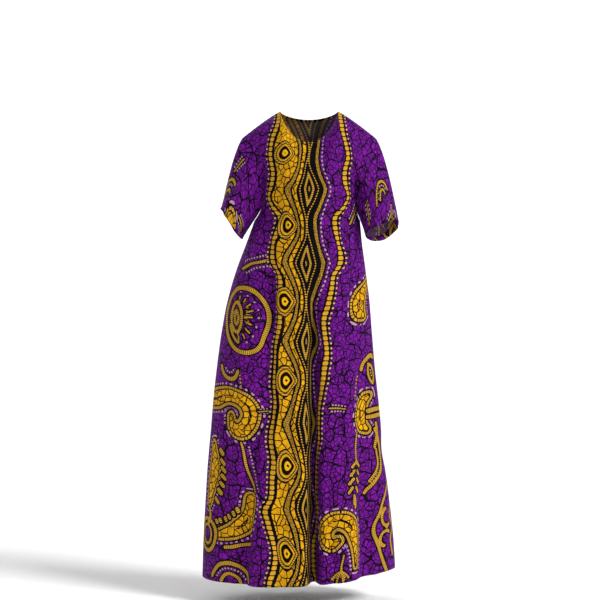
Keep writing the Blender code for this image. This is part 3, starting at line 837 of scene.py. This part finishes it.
# Rows of dots and blocks: the line that a row follows, how far off it the row runs, its pitch, a dot's half
# width and half length, and how square it is.
DOT_COLUMNS = ("name", "line", "aside", "pitch", "half_width", "half_length", "squareness")
DOT_ROWS = (
    ("bead shadow", "body", 0.0200, 0.0140, 0.0054, 0.0054, 2),
    ("bead", "body", 0.0200, 0.0140, 0.0036, 0.0036, 2),
    ("dot shadow", "dots", 0.0, 0.0100, 0.0050, 0.0050, 2),
    ("dot", "dots", 0.0, 0.0100, 0.0031, 0.0031, 2),
    ("edge shadow", "chain", 0.0160, 0.0145, 0.0058, 0.0058, 2),
    ("edge bead", "chain", 0.0160, 0.0145, 0.0033, 0.0033, 2),
    ("chain block", "chain", 0.0, 0.0145, 0.0070, 0.0058, 4),
    ("wave shadow", "wave", 0.0130, 0.0130, 0.0056, 0.0056, 2),
    ("wave bead", "wave", 0.0130, 0.0130, 0.0032, 0.0040, 2),
    ("pip", "pips", 0.0, 0.0075, 0.0019, 0.0024, 2),
)
# Bands: how far one reaches to each side of its line.
BANDS = {"chain": 0.0120, "zigzag": 0.0030}
# The print's layers from the ground up, each over what is before it. One is a row of dots, cracks or a band,
# or all that lies within a distance of a line. An eye's distances are shares of its size.
LAYERS = (
    ("thread vein", None, "deep purple"),
    ("vein", None, "ink"),
    ("bead shadow", None, "ink"),
    ("bead", None, "lilac"),
    ("body", 0.0158, "ink"),
    ("body", 0.0116, "hatched body"),
    ("body", 0.0040, "ink"),
    ("body", 0.0, "gold fill"),
    ("body", -0.0148, "ink"),
    ("body", -0.0172, "speckle"),
    ("dot shadow", None, "ink"),
    ("dot", None, "dots"),
    ("line", 0.0044, "ink"),
    ("line", 0.0, "hatched line"),
    ("edge shadow", None, "ink"),
    ("edge bead", None, "faded gold"),
    ("wave shadow", None, "ink"),
    ("wave bead", None, "lilac"),
    ("chain band", None, "ink"),
    ("rail", 0.0045, "ink"),
    ("chain block", None, "chain gold"),
    ("rail", 0.0, "gold fill"),
    ("wave", 0.0050, "ink"),
    ("wave", -0.0008, "speckle"),
    ("strip", 0.0038, "ink"),
    ("strip", -0.0018, "gold fill"),
    # The border's black zone: print, and on its left half in the front's centre pleat also painted shade of
    # the pleat.
    ("zone", 0.0, "ink"),
    ("pip", None, "hatched gold"),
    ("zigzag band", None, "hatched border"),
    ("spine", 0.0, "speckle"),
    ("spine", -0.0050, "ink"),
    ("eye", 1.12, "ink"),
    ("eye", 1.01, "hatched border"),
    ("eye", 0.86, "ink"),
    ("eye", 0.77, "marbled gold"),
    ("eye", 0.61, "ink"),
    ("eye", 0.32, "bright gold"),
    ("eye", 0.13, "hatching"),
)
# Threads 1.2 mm apart, about three times the real spacing, so that they show at all.
THREAD_SPACING = 0.0012


def colour(hex_value):
    """An sRGB hex value as linear red, green, blue and alpha."""
    srgb = np.array([int(hex_value[at:at + 2], 16) for at in (1, 3, 5)]) / 255
    linear = np.where(srgb <= 0.04045, srgb / 12.92, ((srgb + 0.055) / 1.055) ** 2.4)
    return (*linear.tolist(), 1.0)


def add(tree, kind, inputs=(), **settings):
    """Adds a shader node. An input takes a value, a node's first output, or a node with an output's name."""
    made = tree.nodes.new("ShaderNode" + kind)
    for key, value in settings.items():
        setattr(made, key, value)
    for key, value in dict(inputs).items():
        if isinstance(value, bpy.types.Node):
            tree.links.new(value.outputs[0], made.inputs[key])
        elif isinstance(value, tuple) and isinstance(value[0], bpy.types.Node):
            tree.links.new(value[0].outputs[value[1]], made.inputs[key])
        else:
            made.inputs[key].default_value = value
    return made


def set_stops(ramp, stops):
    """Sets a colour ramp's two stops, each a hex colour and its position."""
    for element, (hex_value, position) in zip(ramp.color_ramp.elements, stops):
        element.position = position
        element.color = colour(hex_value)


def printed_lines(tree, up):
    """The distance from each printed line, and the way along it, as the mesh's attributes hold them."""
    fields = {}
    for field in (*BORDER_FIELDS, "body", "line", "dots"):
        read = add(tree, "Attribute", attribute_name="print_" + field)
        fields[field] = add(tree, "SeparateXYZ", {0: (read, "Vector")})
    off = {
        name: (fields[field], at)
        for field, names in BORDER_FIELDS.items()
        for at, name in enumerate(names)
    }
    along = dict.fromkeys(off, up)
    for name in ("body", "line", "dots"):
        off[name], along[name] = (fields[name], 0), (fields[name], 1)
    # Thin strokes: within a grid cell of a stroke's middle line the step aside gives its edge, and the stored
    # distance does further out.
    for name in ("line", "dots"):
        read = add(tree, "Attribute", attribute_name=f"print_{name}_aside")
        wide = add(tree, "SeparateXYZ", {0: (read, "Vector")})
        aside = add(tree, "VectorMath", {0: (read, "Vector"), 1: (1.0, 1.0, 0.0)}, operation="MULTIPLY")
        aside = add(tree, "VectorMath", {0: aside}, operation="LENGTH")
        aside = add(tree, "Math", {0: (aside, "Value"), 1: (wide, 2)}, operation="SUBTRACT")
        off_middle = add(tree, "Math", {0: off[name], 1: (wide, 2)}, operation="ADD")
        close = add(tree, "Math", {0: off_middle, 1: NEAR_MIDDLE}, operation="LESS_THAN")
        off[name] = add(tree, "Mix", {0: close, 2: off[name], 3: aside}, data_type="FLOAT")
    return off, along, (fields["dots"], 2)


def crackle(tree, flat):
    """The cracks of each size, where dye has run into the broken wax. Their edges wander."""
    drift = add(tree, "TexNoise", {"Vector": flat, "Scale": 28.0, "Detail": 2.0})
    drift = add(tree, "VectorMath", {0: (drift, "Color"), 1: (0.5, 0.5, 0.5)}, operation="SUBTRACT")
    drift = add(tree, "VectorMath", {0: drift, "Scale": 0.012}, operation="SCALE")
    bent = add(tree, "VectorMath", {0: flat, 1: drift}, operation="ADD")
    uneven = add(tree, "TexNoise", {"Vector": flat, "Scale": 40.0, "Detail": 1.0})
    cracks = {}
    for row in rows_of(CRACKS, CRACK_COLUMNS):
        edge = add(tree, "TexVoronoi", {"Vector": bent, "Scale": row["cells"]}, feature="DISTANCE_TO_EDGE",
                   voronoi_dimensions="2D")
        width = add(tree, "Math", {0: uneven, 1: row["factor"], 2: row["step"]}, operation="MULTIPLY_ADD")
        cracks[row["name"]] = add(tree, "Math", {0: edge, 1: width}, operation="LESS_THAN")
    return cracks


def rows_of_dots(tree, off, along):
    """The rows of dots and blocks: round or square spots at an even pitch along a line."""
    spots = {}
    for row in rows_of(DOT_ROWS, DOT_COLUMNS):
        pitch, half_width, half_length = row["pitch"], row["half_width"], row["half_length"]
        length = add(tree, "Math", {0: along[row["line"]], 1: pitch}, operation="DIVIDE")
        length = add(tree, "Math", {0: length}, operation="FRACT")
        scaled = {0: length, 1: pitch / half_length, 2: -pitch / half_length / 2}
        length = add(tree, "Math", scaled, operation="MULTIPLY_ADD")
        scaled = {0: off[row["line"]], 1: 1 / half_width, 2: -row["aside"] / half_width}
        width = add(tree, "Math", scaled, operation="MULTIPLY_ADD")
        powers = []
        for way in (length, width):
            way = add(tree, "Math", {0: way}, operation="ABSOLUTE")
            powers.append(add(tree, "Math", {0: way, 1: row["squareness"]}, operation="POWER"))
        size = add(tree, "Math", {0: powers[0], 1: powers[1]}, operation="ADD")
        spots[row["name"]] = add(tree, "Math", {0: size, 1: 1.0}, operation="LESS_THAN")
    return spots


def printed_cotton(name, fading):
    """The printed cloth. fading is how much paler its reverse is."""
    made = bpy.data.materials.new(name)
    made.use_nodes = True
    tree = made.node_tree
    shader = tree.nodes["Principled BSDF"]
    flat = add(tree, "UVMap", uv_map="flat_cloth")
    up = (add(tree, "SeparateXYZ", {0: flat}), 1)
    off, along, lilac_dots = printed_lines(tree, up)
    masks = crackle(tree, flat) | rows_of_dots(tree, off, along)
    for key, reach in BANDS.items():
        masks[key + " band"] = add(tree, "Math", {0: off[key], 1: 0.0, 2: reach}, operation="COMPARE")

    # The dye is marbled, and the gold fills are crossed by hairlines.
    paints = {key: colour(value) for key, value in COLOURS.items()}
    marbling = add(tree, "TexNoise", {"Vector": flat, "Scale": 60.0, "Detail": 5.0, "Roughness": 0.65})
    for key, stops in MARBLED.items():
        paints[key] = add(tree, "ValToRGB", {0: marbling})
        set_stops(paints[key], [(COLOURS[tone], position) for tone, position in stops])
    grains = add(tree, "TexVoronoi", {"Vector": flat, "Scale": GRAINS}, feature="F1", voronoi_dimensions="2D")
    grain = add(tree, "Math", {0: grains, 1: GRAIN_RADIUS}, operation="LESS_THAN")
    mixed = {
        "gold fill": (masks["hairline"], "marbled gold", "hatching"),
        "chain gold": (CHAIN_DULLED, "marbled gold", "hatched gold"),
        "speckle": (grain, "hatched gold", "hatching"),
        "dots": (lilac_dots, "hatched gold", "lilac"),
    }
    for key, way in (("body", along["body"]), ("line", along["line"]), ("border", up)):
        turns = add(tree, "Math", {0: way, 1: HATCH_PITCH}, operation="DIVIDE")
        turns = add(tree, "Math", {0: turns}, operation="FRACT")
        rung = add(tree, "Math", {0: turns, 1: HATCH_SHARE}, operation="LESS_THAN")
        mixed["hatched " + key] = (rung, "hatched gold", "hatching")
    for key, (share, below, above) in mixed.items():
        paints[key] = (add(tree, "Mix", {0: share, 6: paints[below], 7: paints[above]}, data_type="RGBA"), 2)

    shown = paints["purple ground"]
    for key, within, paint in LAYERS:
        mask = masks.get(key)
        if within is not None:
            mask = add(tree, "Math", {0: off[key], 1: within}, operation="LESS_THAN")
        shown = (add(tree, "Mix", {0: mask, 6: shown, 7: paints[paint]}, data_type="RGBA"), 2)

    # Dye takes unevenly in the weave: a fine mottle over all the colours.
    mottle = add(tree, "TexNoise", {"Vector": flat, "Scale": 900.0, "Detail": 2.0})
    mottle = add(tree, "MapRange", {0: mottle, 1: 0.3, 2: 0.7, 3: 0.80, 4: 1.12})
    shown = (add(tree, "VectorMath", {0: shown, "Scale": mottle}, operation="SCALE"), 0)
    if fading:
        shown = (add(tree, "Mix", {0: fading, 6: shown, 7: paints["reverse"]}, data_type="RGBA"), 2)
    tree.links.new(shown[0].outputs[shown[1]], shader.inputs["Base Color"])

    # The weave, and rumples about 45 mm apart.
    threads = add(tree, "VectorMath", {0: flat, "Scale": 2 * np.pi / THREAD_SPACING}, operation="SCALE")
    threads = add(tree, "SeparateXYZ", {0: threads})
    warp = add(tree, "Math", {0: (threads, 0)}, operation="SINE")
    weft = add(tree, "Math", {0: (threads, 1)}, operation="SINE")
    weave = add(tree, "Math", {0: warp, 1: weft}, operation="MULTIPLY")
    rumple = add(tree, "TexNoise", {"Vector": flat, "Scale": 22.0, "Detail": 3.0})
    bump = add(tree, "Bump", {"Height": weave, "Strength": 0.16, "Distance": 0.0003})
    bump = add(tree, "Bump", {"Height": rumple, "Strength": 0.50, "Distance": 0.007, "Normal": bump})
    tree.links.new(bump.outputs[0], shader.inputs["Normal"])
    rough = add(tree, "MapRange", {0: marbling, 1: 0.3, 2: 0.7, 3: 0.74, 4: 0.90})
    tree.links.new(rough.outputs[0], shader.inputs["Roughness"])
    shader.inputs["Specular IOR Level"].default_value = 0.06
    shader.inputs["Sheen Weight"].default_value = 0.01
    shader.inputs["Sheen Roughness"].default_value = 0.5
    return made


REVERSE_FADING = 0.22
face_cotton = printed_cotton("wax_print_cotton_face", 0.0)
reverse_cotton = printed_cotton("wax_print_cotton_reverse", REVERSE_FADING)


# Stitching. One row of lockstitch holds the turned edge of the neck, the hem and each sleeve hem. The thread
# is spun polyester: smooth and a little shiny.

STITCH_PITCH = 0.0040
STITCH_LENGTH = 0.0031
# A stitch's four points: shares of its length, and how high each stands off the cloth.
STITCH_SHARES = np.array([0.0, 0.2, 0.8, 1.0])
STITCH_LIFTS = np.array([-0.0003, 0.0001, 0.0001, -0.0003])
THREAD_RADIUS = 0.00028
# How far in from the edge each row runs, how far past the neck's corners its row goes, and which columns of
# the hem are clear of the side seams.
NECK_STITCH = 0.006
HEM_STITCH = 0.019
CUFF_STITCH = 0.011
NECK_STITCH_PAST = 0.004
CLEAR_OF_SEAMS = slice(2, -2)
# Rows of cloth from an edge that a line of stitches is looked for in.
STITCHED_ROWS = 16

thread = bpy.data.materials.new("spun_polyester_thread")
thread.use_nodes = True
tree = thread.node_tree
twist = add(tree, "TexCoord")
twist = add(tree, "TexNoise", {"Vector": (twist, "Object"), "Scale": 1600.0, "Detail": 1.0})
ply = add(tree, "ValToRGB", {0: twist})
set_stops(ply, (("#2B1135", 0.35), ("#5B2A70", 0.65)))
tree.links.new(ply.outputs[0], tree.nodes["Principled BSDF"].inputs["Base Color"])
ply_bump = add(tree, "Bump", {"Height": twist, "Strength": 0.4, "Distance": 0.0001})
tree.links.new(ply_bump.outputs[0], tree.nodes["Principled BSDF"].inputs["Normal"])
tree.nodes["Principled BSDF"].inputs["Roughness"].default_value = 0.5


def at_lengths(lengths, run, values):
    """A line's points or ways at some lengths along it."""
    return np.stack([np.interp(lengths, run, values[:, axis]) for axis in range(3)], axis=-1)


def stitch_line(points, outwards, edge, depth):
    """A line on the cloth at a distance in from the first edge, 0, or the last, -1."""
    order = slice(0, STITCHED_ROWS) if edge == 0 else slice(-1, -1 - STITCHED_ROWS, -1)
    points, outwards = points[order], outwards[order]
    run = run_along(points)
    line_points = np.array([at_lengths(depth, run[:, at], points[:, at]) for at in range(points.shape[1])])
    nearest = np.abs(run - depth).argmin(0)
    away = outwards[nearest, np.arange(points.shape[1])]
    return line_points + away * (CLOTH_THICKNESS / 2), away


def sew(name, lines):
    """A piece of all the stitches along some lines: short threads that dip into the cloth at both ends."""
    curve = bpy.data.curves.new(name, "CURVE")
    curve.dimensions = "3D"
    curve.bevel_depth = THREAD_RADIUS
    curve.bevel_resolution = 0
    curve.use_fill_caps = True
    for points, away in lines:
        run = run_along(points)
        for start in np.arange(STITCH_PITCH / 2, run[-1] - STITCH_PITCH, STITCH_PITCH):
            lengths = start + STITCH_LENGTH * STITCH_SHARES
            spots = at_lengths(lengths, run, points) + at_lengths(lengths, run, away) * STITCH_LIFTS[:, None]
            spline = curve.splines.new("POLY")
            spline.points.add(len(spots) - 1)
            spline.points.foreach_set("co", np.column_stack([spots, np.ones(len(spots))]).ravel())
    stitches = bpy.data.objects.new(name, curve)
    bpy.context.scene.collection.objects.link(stitches)
    bpy.ops.object.select_all(action="DESELECT")
    stitches.select_set(True)
    bpy.context.view_layer.objects.active = stitches
    bpy.ops.object.convert(target="MESH")
    bpy.ops.object.shade_smooth()
    stitches.data.materials.append(thread)
    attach(stitches, "root")
    return stitches


def dress_piece(piece, node, stitches):
    """Gives a piece its cloth, and puts it in the place of its solid."""
    piece.data.materials.append(face_cotton)
    piece.data.materials.append(reverse_cotton)
    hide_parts(node)
    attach(piece, "root")


# Front panel. One length of cloth from the shoulder seams to the hem, with the border down its middle. Its
# right half is lost in the deep centre pleat, and comes out again below the neck.


def panel_places(face):
    """A function from a point of the hanging dress, seen from the front, to its place on the flat cloth."""
    points, _, places = grids[face]
    seen = points[..., (0, 2)].reshape(-1, 2)

    def where(x, z):
        return places.reshape(-1, 2)[np.linalg.norm(seen - (x, z), axis=1).argmin()]

    return where


def make_panel(face, motifs, eye_heights, cut_from):
    """One panel with its print and its turned edges."""
    where = panel_places(face)
    points, places = with_turned_edges(*grids[face])
    flat = places.reshape(-1, 2)
    eyes = np.array([where(-EYE[0], z)[1] for z in eye_heights])
    phase = np.interp(-flat[:, 1], -eyes, np.arange(len(eyes), dtype=float))
    phase += (np.minimum(eyes[0] - flat[:, 1], 0) + np.maximum(eyes[-1] - flat[:, 1], 0)) / BORDER_REPEAT
    drawn = hand_drawn(flat)
    fields = motif_fields(drawn, motifs, where) | border_fields(drawn, phase)
    return cloth_piece(face + "_panel", points, places, fields, cut_from, round_tube=False,
                       facing_out=face == "front")


def panel_stitches(face):
    """The rows of stitches round a panel's part of the neck, and above its hem."""
    points, outwards, _ = grids[face]
    neck, neck_away = stitch_line(points, outwards, 0, NECK_STITCH)
    at_neck = np.abs(neck[:, 0]) < NECK_HALF_WIDTH + NECK_STITCH_PAST
    hem, hem_away = stitch_line(points, outwards, -1, HEM_STITCH)
    return sew(face + "_stitches", (
        (neck[at_neck], neck_away[at_neck]),
        (hem[CLEAR_OF_SEAMS], hem_away[CLEAR_OF_SEAMS]),
    ))


front_panel = make_panel("front", FRONT_MOTIFS, EYE_HEIGHTS, (0.0, 0.0))
dress_piece(front_panel, "front", panel_stitches("front"))

# Back panel. Cut like the front with a shallow neck, from the same printed cloth. Three soft folds fall from
# the shoulder blades to the hem.

BACK_EYES = (-0.130, -0.370, -0.612, -0.856, -1.100, -1.343)
back_panel = make_panel("back", BACK_MOTIFS, BACK_EYES, (0.07, 1.90))
dress_piece(back_panel, "back", panel_stitches("back"))

# Sleeves. Wide drop sleeves, each one piece sewn into a tube and set into the armhole, ending at the elbow.
# They hang open and turn back a little where an arm would press them against the side.

CUFFS = {
    "sleeve_right": {
        "outer": (-0.258, 0.004, -0.284),
        "front": (-0.232, -0.088, -0.322),
        "inner": (-0.197, -0.004, -0.372),
        "back": (-0.222, 0.084, -0.352),
    },
    "sleeve_left": {
        "outer": (0.264, -0.006, -0.322),
        "front": (0.208, -0.096, -0.331),
        "inner": (0.166, -0.028, -0.366),
        "back": (0.226, 0.066, -0.376),
    },
}
SLEEVE_ROWS = 54
CUFF_SAMPLES = 200
SLEEVE_HOLD = 0.62
SLEEVE_DROOP = 0.35
RING_CROWDING = 1.25
# A sleeve that turns down from the panel by more than OWN_WALL_FROM degrees has a wall of its own, in full
# OWN_WALL_OVER degrees further on. It laps over the panel's edge there, in full where the sine of the angle
# between both walls is LAP_SINE.
OWN_WALL_FROM = 30
OWN_WALL_OVER = 50
LAP_SINE = 0.3
SEAM_GAP = 0.0003
LAP_GAP = 0.0006
WALL = 0.002
CUFF_ROWS = 5
SLEEVE_FOLD_START = 0.25
# A sleeve lies clear of the border: half a metre off its lines, and with no eye.
OFF_BORDER = (0.5, 0.5, NO_EYE)

SLEEVE_FOLD_COLUMNS = ("name", "at_seam", "at_hem", "depth_seam", "depth_hem", "spread")
SLEEVE_FOLDS = (
    ("front_drag", 0.36, 0.24, 0.008, 0.003, 0.030),
    ("front_roll", 0.26, 0.13, -0.004, -0.006, 0.035),
    ("back_drag", 0.64, 0.75, 0.008, 0.004, 0.030),
    ("back_roll", 0.75, 0.87, -0.004, -0.006, 0.035),
    ("front_crease", 0.20, 0.19, 0.003, 0.002, 0.014),
    ("top_crease", 0.94, 0.04, 0.002, 0.003, 0.020),
)

RIGHT_SLEEVE_MOTIFS = (
    (twin_arcs, 0.040, -0.170, 60, 0.052),
    (ladder, 0.030, -0.075, 75, 0.026),
    (paisley, 0.115, -0.172, 40, 0.036),
    (ladder, 0.150, -0.110, 30, 0.026),
    (paisley, 0.36, -0.160, 0, 0.036),
    (crescent, 0.30, -0.240, 0, 0.034),
)
LEFT_SLEEVE_MOTIFS = (
    (twin_arcs, 0.070, -0.140, 20, 0.038),
    (ladder, 0.064, -0.190, 0, 0.026),
    (ladder, 0.140, -0.085, 110, 0.026),
    (ladder, 0.150, -0.160, 115, 0.024),
    (feather, 0.090, -0.232, 80, 0.036),
    (crescent, 0.300, -0.160, 0, 0.036),
    (hooked_leaf, 0.360, -0.240, 0, 0.034),
)


def closed(points):
    """A loop's points, with the first once more at the end."""
    return np.concatenate([points, points[:1]])


def round_way(points, axis=0):
    """The step round a loop at each of its points."""
    return np.roll(points, -1, axis=axis) - np.roll(points, 1, axis=axis)


def armhole(side):
    """The armhole's loop from the shoulder down the front to the underarm and up the back again.

    Gives its points, the cloth's outward normals there, and the way out of the panel across its edge.
    """
    edge, inside = (0, 1) if side < 0 else (-1, -2)
    reach = slice(0, YOKE_ROWS + 1)
    halves = []
    for face in ("front", "back"):
        points, outwards, _ = grids[face]
        halves.append((points[reach, edge], outwards[reach, edge], points[reach, inside]))
    points, outwards, within = (np.concatenate([front, back[-2:0:-1]]) for front, back in zip(*halves))
    leaving = unit(np.cross(unit(round_way(points)), outwards))
    towards = ((within - points) * leaving).sum(1)
    leaving = np.where(towards[:, None] > 0, -leaving, leaving)
    leaving[0] = unit(np.array([side * (SHOULDER_TIP_X - NECK_HALF_WIDTH), 0, -SHOULDER_TIP_DROP]))
    leaving[YOKE_ROWS] = np.array([0.0, 0.0, 1.0])
    return points, outwards, leaving


def cuff_loop(name, shares):
    """The sleeve hem's loop at shares of its length, from the outermost point round the front."""
    outer, front, inner, back = (np.array(CUFFS[name][key]) for key in ("outer", "front", "inner", "back"))
    middle = (outer + inner) / 2
    lift = (front + back) / 2 - middle

    def at(angle):
        c, s = np.cos(angle)[:, None], np.sin(angle)[:, None]
        return middle + c * (outer - inner) / 2 + s * (front - back) / 2 + s * s * lift

    found = []
    for start in (0.0, np.pi):
        angles = np.linspace(start, start + np.pi, CUFF_SAMPLES)
        run = run_along(at(angles))
        found.append(np.interp(shares * 2 - start / np.pi, run / run[-1], angles))
    return at(np.where(shares <= 0.5, *found))


def loop_shares(points):
    """Each point's share of the way round, 0 to 0.5 down the front and 0.5 to 1 up the back."""
    run = run_along(closed(points))
    half = run[YOKE_ROWS]
    down = run[:YOKE_ROWS + 1] / half / 2
    up = 0.5 + (run[YOKE_ROWS + 1:] - half) / (run[-1] - half) / 2
    return np.concatenate([down, up])[:-1]


def ring_normals(points, side):
    """Outward normals of a tube's grid of points."""
    return unit(np.cross(round_way(points, axis=1), np.gradient(points, axis=0)) * side)


def sleeve_folds(shares, rings):
    """How far the sleeve's folds push it inwards."""
    total = np.zeros((len(rings), len(shares)))
    for fold in rows_of(SLEEVE_FOLDS, SLEEVE_FOLD_COLUMNS):
        at = fold["at_seam"] + (fold["at_hem"] - fold["at_seam"]) * rings
        off = (shares[None, :] - at[:, None] + 0.5) % 1 - 0.5
        depth = fold["depth_seam"] + (fold["depth_hem"] - fold["depth_seam"]) * rings
        shown = ease(rings / SLEEVE_FOLD_START) * depth
        total += shown[:, None] * np.exp(-((off / fold["spread"]) ** 2))
    return total


def sleeve_grid(name):
    """The sleeve's points, wall directions and flat places, ring by ring from the armhole to its hem."""
    side = -1 if name == "sleeve_right" else 1
    seam, body_out, leaving = armhole(side)
    shares = loop_shares(seam)
    cuff = cuff_loop(name, shares)
    hang = unit(cuff - seam)
    lowness = ease(1 - np.abs(shares - 0.5) * 2)[:, None]
    start_way = unit(leaving * (1 - lowness) * 0.5 + hang * (0.5 + 0.5 * lowness))
    end_way = unit(hang - np.array([0.0, 0.0, SLEEVE_DROOP]))
    reach = np.linalg.norm(cuff - seam, axis=1, keepdims=True)
    turn = np.arctan2((start_way * body_out).sum(1), (start_way * leaving).sum(1))
    own = ease((turn - np.radians(OWN_WALL_FROM)) / np.radians(OWN_WALL_OVER))[:, None]
    tangent = unit(round_way(seam))
    own_out = unit(np.cross(tangent, start_way))
    same_side = (np.cross(tangent, leaving) * body_out).sum(1, keepdims=True) > 0
    own_out = np.where(same_side, own_out, -own_out)
    wall_way = unit(body_out * (1 - own) + own_out * own)
    lean = np.clip((wall_way * body_out).sum(1, keepdims=True), -1, 1)
    sine = np.sqrt(1 - lean ** 2)
    lap = np.clip(sine / LAP_SINE, 0, 1)
    step_off = SEAM_GAP / 2 + (LAP_GAP - SEAM_GAP) * lap
    step_out = WALL / 2 * (1 - lean) + LAP_GAP * lap
    start = seam + leaving * step_off + body_out * step_out

    rings = np.linspace(0, 1, SLEEVE_ROWS + 1) ** RING_CROWDING
    t = rings[:, None, None]
    points = (
        start * (1 + 2 * t) * (1 - t) ** 2
        + start_way * reach * SLEEVE_HOLD * t * (1 - t) ** 2
        + cuff * t * t * (3 - 2 * t)
        - end_way * reach * SLEEVE_HOLD * t * t * (1 - t)
    )
    outwards = ring_normals(points, side)
    points -= outwards * sleeve_folds(shares, rings)[..., None]
    outwards = ring_normals(points, side)
    outwards[0] = wall_way
    across = np.repeat(shares[None, :] * run_along(closed(cuff))[-1], len(rings), axis=0)
    return points, outwards, np.stack([across, -run_along(points)], axis=-1)


def make_sleeve(name, motifs, cut_from):
    """One sleeve with its print, its seam turned in at the armhole and its hem turned up at the elbow."""
    points, outwards, places = sleeve_grid(name)
    roll = points[0] - outwards[0] * ROLL_DEPTH
    behind = points[0] - outwards[0] * SEAM_ALLOWANCE
    low, low_places = turned_rows(points, outwards, places, -1, -1, CUFF_ROWS)
    points = np.concatenate([[behind], [roll], points, low])
    places = np.concatenate([places[:1], places[:1], places, low_places])
    flat = places.reshape(-1, 2)
    fields = motif_fields(hand_drawn(flat), motifs, lambda x, z: np.array([x, z]))
    fields |= dict.fromkeys(BORDER_FIELDS, np.tile(OFF_BORDER, (len(flat), 1)))
    return cloth_piece(name + "_cloth", points, places, fields, cut_from, round_tube=True,
                       facing_out=name == "sleeve_right")


def sleeve_stitches(name):
    """The row of stitches above a sleeve's hem."""
    points, outwards, _ = sleeve_grid(name)
    cuff, away = stitch_line(points, outwards, -1, CUFF_STITCH)
    return sew(name + "_stitches", ((closed(cuff), closed(away)),))


right_sleeve = make_sleeve("sleeve_right", RIGHT_SLEEVE_MOTIFS, (1.20, 0.40))
dress_piece(right_sleeve, "sleeve_right", sleeve_stitches("sleeve_right"))
left_sleeve = make_sleeve("sleeve_left", LEFT_SLEEVE_MOTIFS, (1.20, 0.90))
dress_piece(left_sleeve, "sleeve_left", sleeve_stitches("sleeve_left"))

# Studio. A plain pale floor that curves up into a pale wall all round, a soft light from the front at the
# dress's left, weaker ones from behind and from the other side, and a long lens at the middle of the dress.

FLOOR_Z = -1.44
FLOOR_RADIUS = 11.0
FLOOR_SIDES = 96
# How far the floor's edge spreads and rises at each step of its curve.
SWEEP_STEPS = (
    (1.10, 0.10), (1.08, 0.25), (1.07, 0.45), (1.06, 0.70), (1.045, 0.95), (1.03, 1.20), (1.015, 1.50),
    (1.0, 2.50),
)
WORLD_STRENGTH = 0.31
LIGHT_COLUMNS = ("name", "kind", "place", "size", "power")
LIGHTS = (
    ("key", "SUN", (4.1, -2.9, 3.2), 0.36, 3.2),
    ("back", "SUN", (-2.4, 3.6, 2.4), 0.60, 1.0),
    ("fill", "AREA", (-3.0, -3.0, 0.6), 2.4, 3.0),
)
DRESS_MIDDLE = (0.0, 0.0, -0.62)
CAMERA_PLACE = (-0.0266, -6.5, -0.29)
CAMERA_AIM = (-0.0266, 0.0, -0.5546)
SENSOR_WIDTH = 36.0
# The width that the picture takes in where the dress hangs.
FRAME_WIDTH = 1.77


def aim(thing, place, target):
    """Puts a lamp or the camera in its place, and turns it to its target."""
    thing.location = place
    way = Vector(np.subtract(target, place).tolist())
    thing.rotation_euler = way.to_track_quat("-Z", "Y").to_euler()
    bpy.context.scene.collection.objects.link(thing)


bpy.ops.object.select_all(action="DESELECT")
bpy.ops.mesh.primitive_circle_add(
    vertices=FLOOR_SIDES, radius=FLOOR_RADIUS, fill_type="NGON", calc_uvs=False, location=(0, 0, FLOOR_Z))
sweep = bpy.context.object
sweep.name = "studio_sweep"
bpy.ops.object.mode_set(mode="EDIT")
bpy.ops.mesh.select_mode(type="EDGE")
bpy.ops.mesh.select_all(action="SELECT")
for spread, rise in SWEEP_STEPS:
    bpy.ops.mesh.extrude_edges_move(TRANSFORM_OT_translate={"value": (0, 0, rise)})
    bpy.ops.transform.resize(value=(spread, spread, 1), center_override=(0, 0, 0))
bpy.ops.mesh.select_all(action="SELECT")
bpy.ops.mesh.normals_make_consistent(inside=True)
bpy.ops.object.mode_set(mode="OBJECT")
bpy.ops.object.shade_smooth()
bpy.ops.object.transform_apply(location=True, rotation=True, scale=True)
paper = bpy.data.materials.new("matt_paper")
paper.use_nodes = True
paper_shader = paper.node_tree.nodes["Principled BSDF"]
paper_shader.inputs["Base Color"].default_value = colour("#FCFCFC")
paper_shader.inputs["Roughness"].default_value = 0.9
sweep.data.materials.append(paper)

world = bpy.data.worlds.new("studio_air")
world.use_nodes = True
world.node_tree.nodes["Background"].inputs["Color"].default_value = colour("#FFFFFF")
world.node_tree.nodes["Background"].inputs["Strength"].default_value = WORLD_STRENGTH
bpy.context.scene.world = world
bpy.context.scene.view_settings.view_transform = "Standard"

for row in rows_of(LIGHTS, LIGHT_COLUMNS):
    light = bpy.data.lights.new(row["name"], row["kind"])
    setattr(light, "angle" if row["kind"] == "SUN" else "size", row["size"])
    light.energy = row["power"]
    aim(bpy.data.objects.new(row["name"], light), row["place"], DRESS_MIDDLE)

lens = bpy.data.cameras.new("long_lens")
lens.sensor_width = SENSOR_WIDTH
lens.lens = SENSOR_WIDTH * (CAMERA_AIM[1] - CAMERA_PLACE[1]) / FRAME_WIDTH
camera = bpy.data.objects.new("camera", lens)
aim(camera, CAMERA_PLACE, CAMERA_AIM)
bpy.context.scene.camera = camera
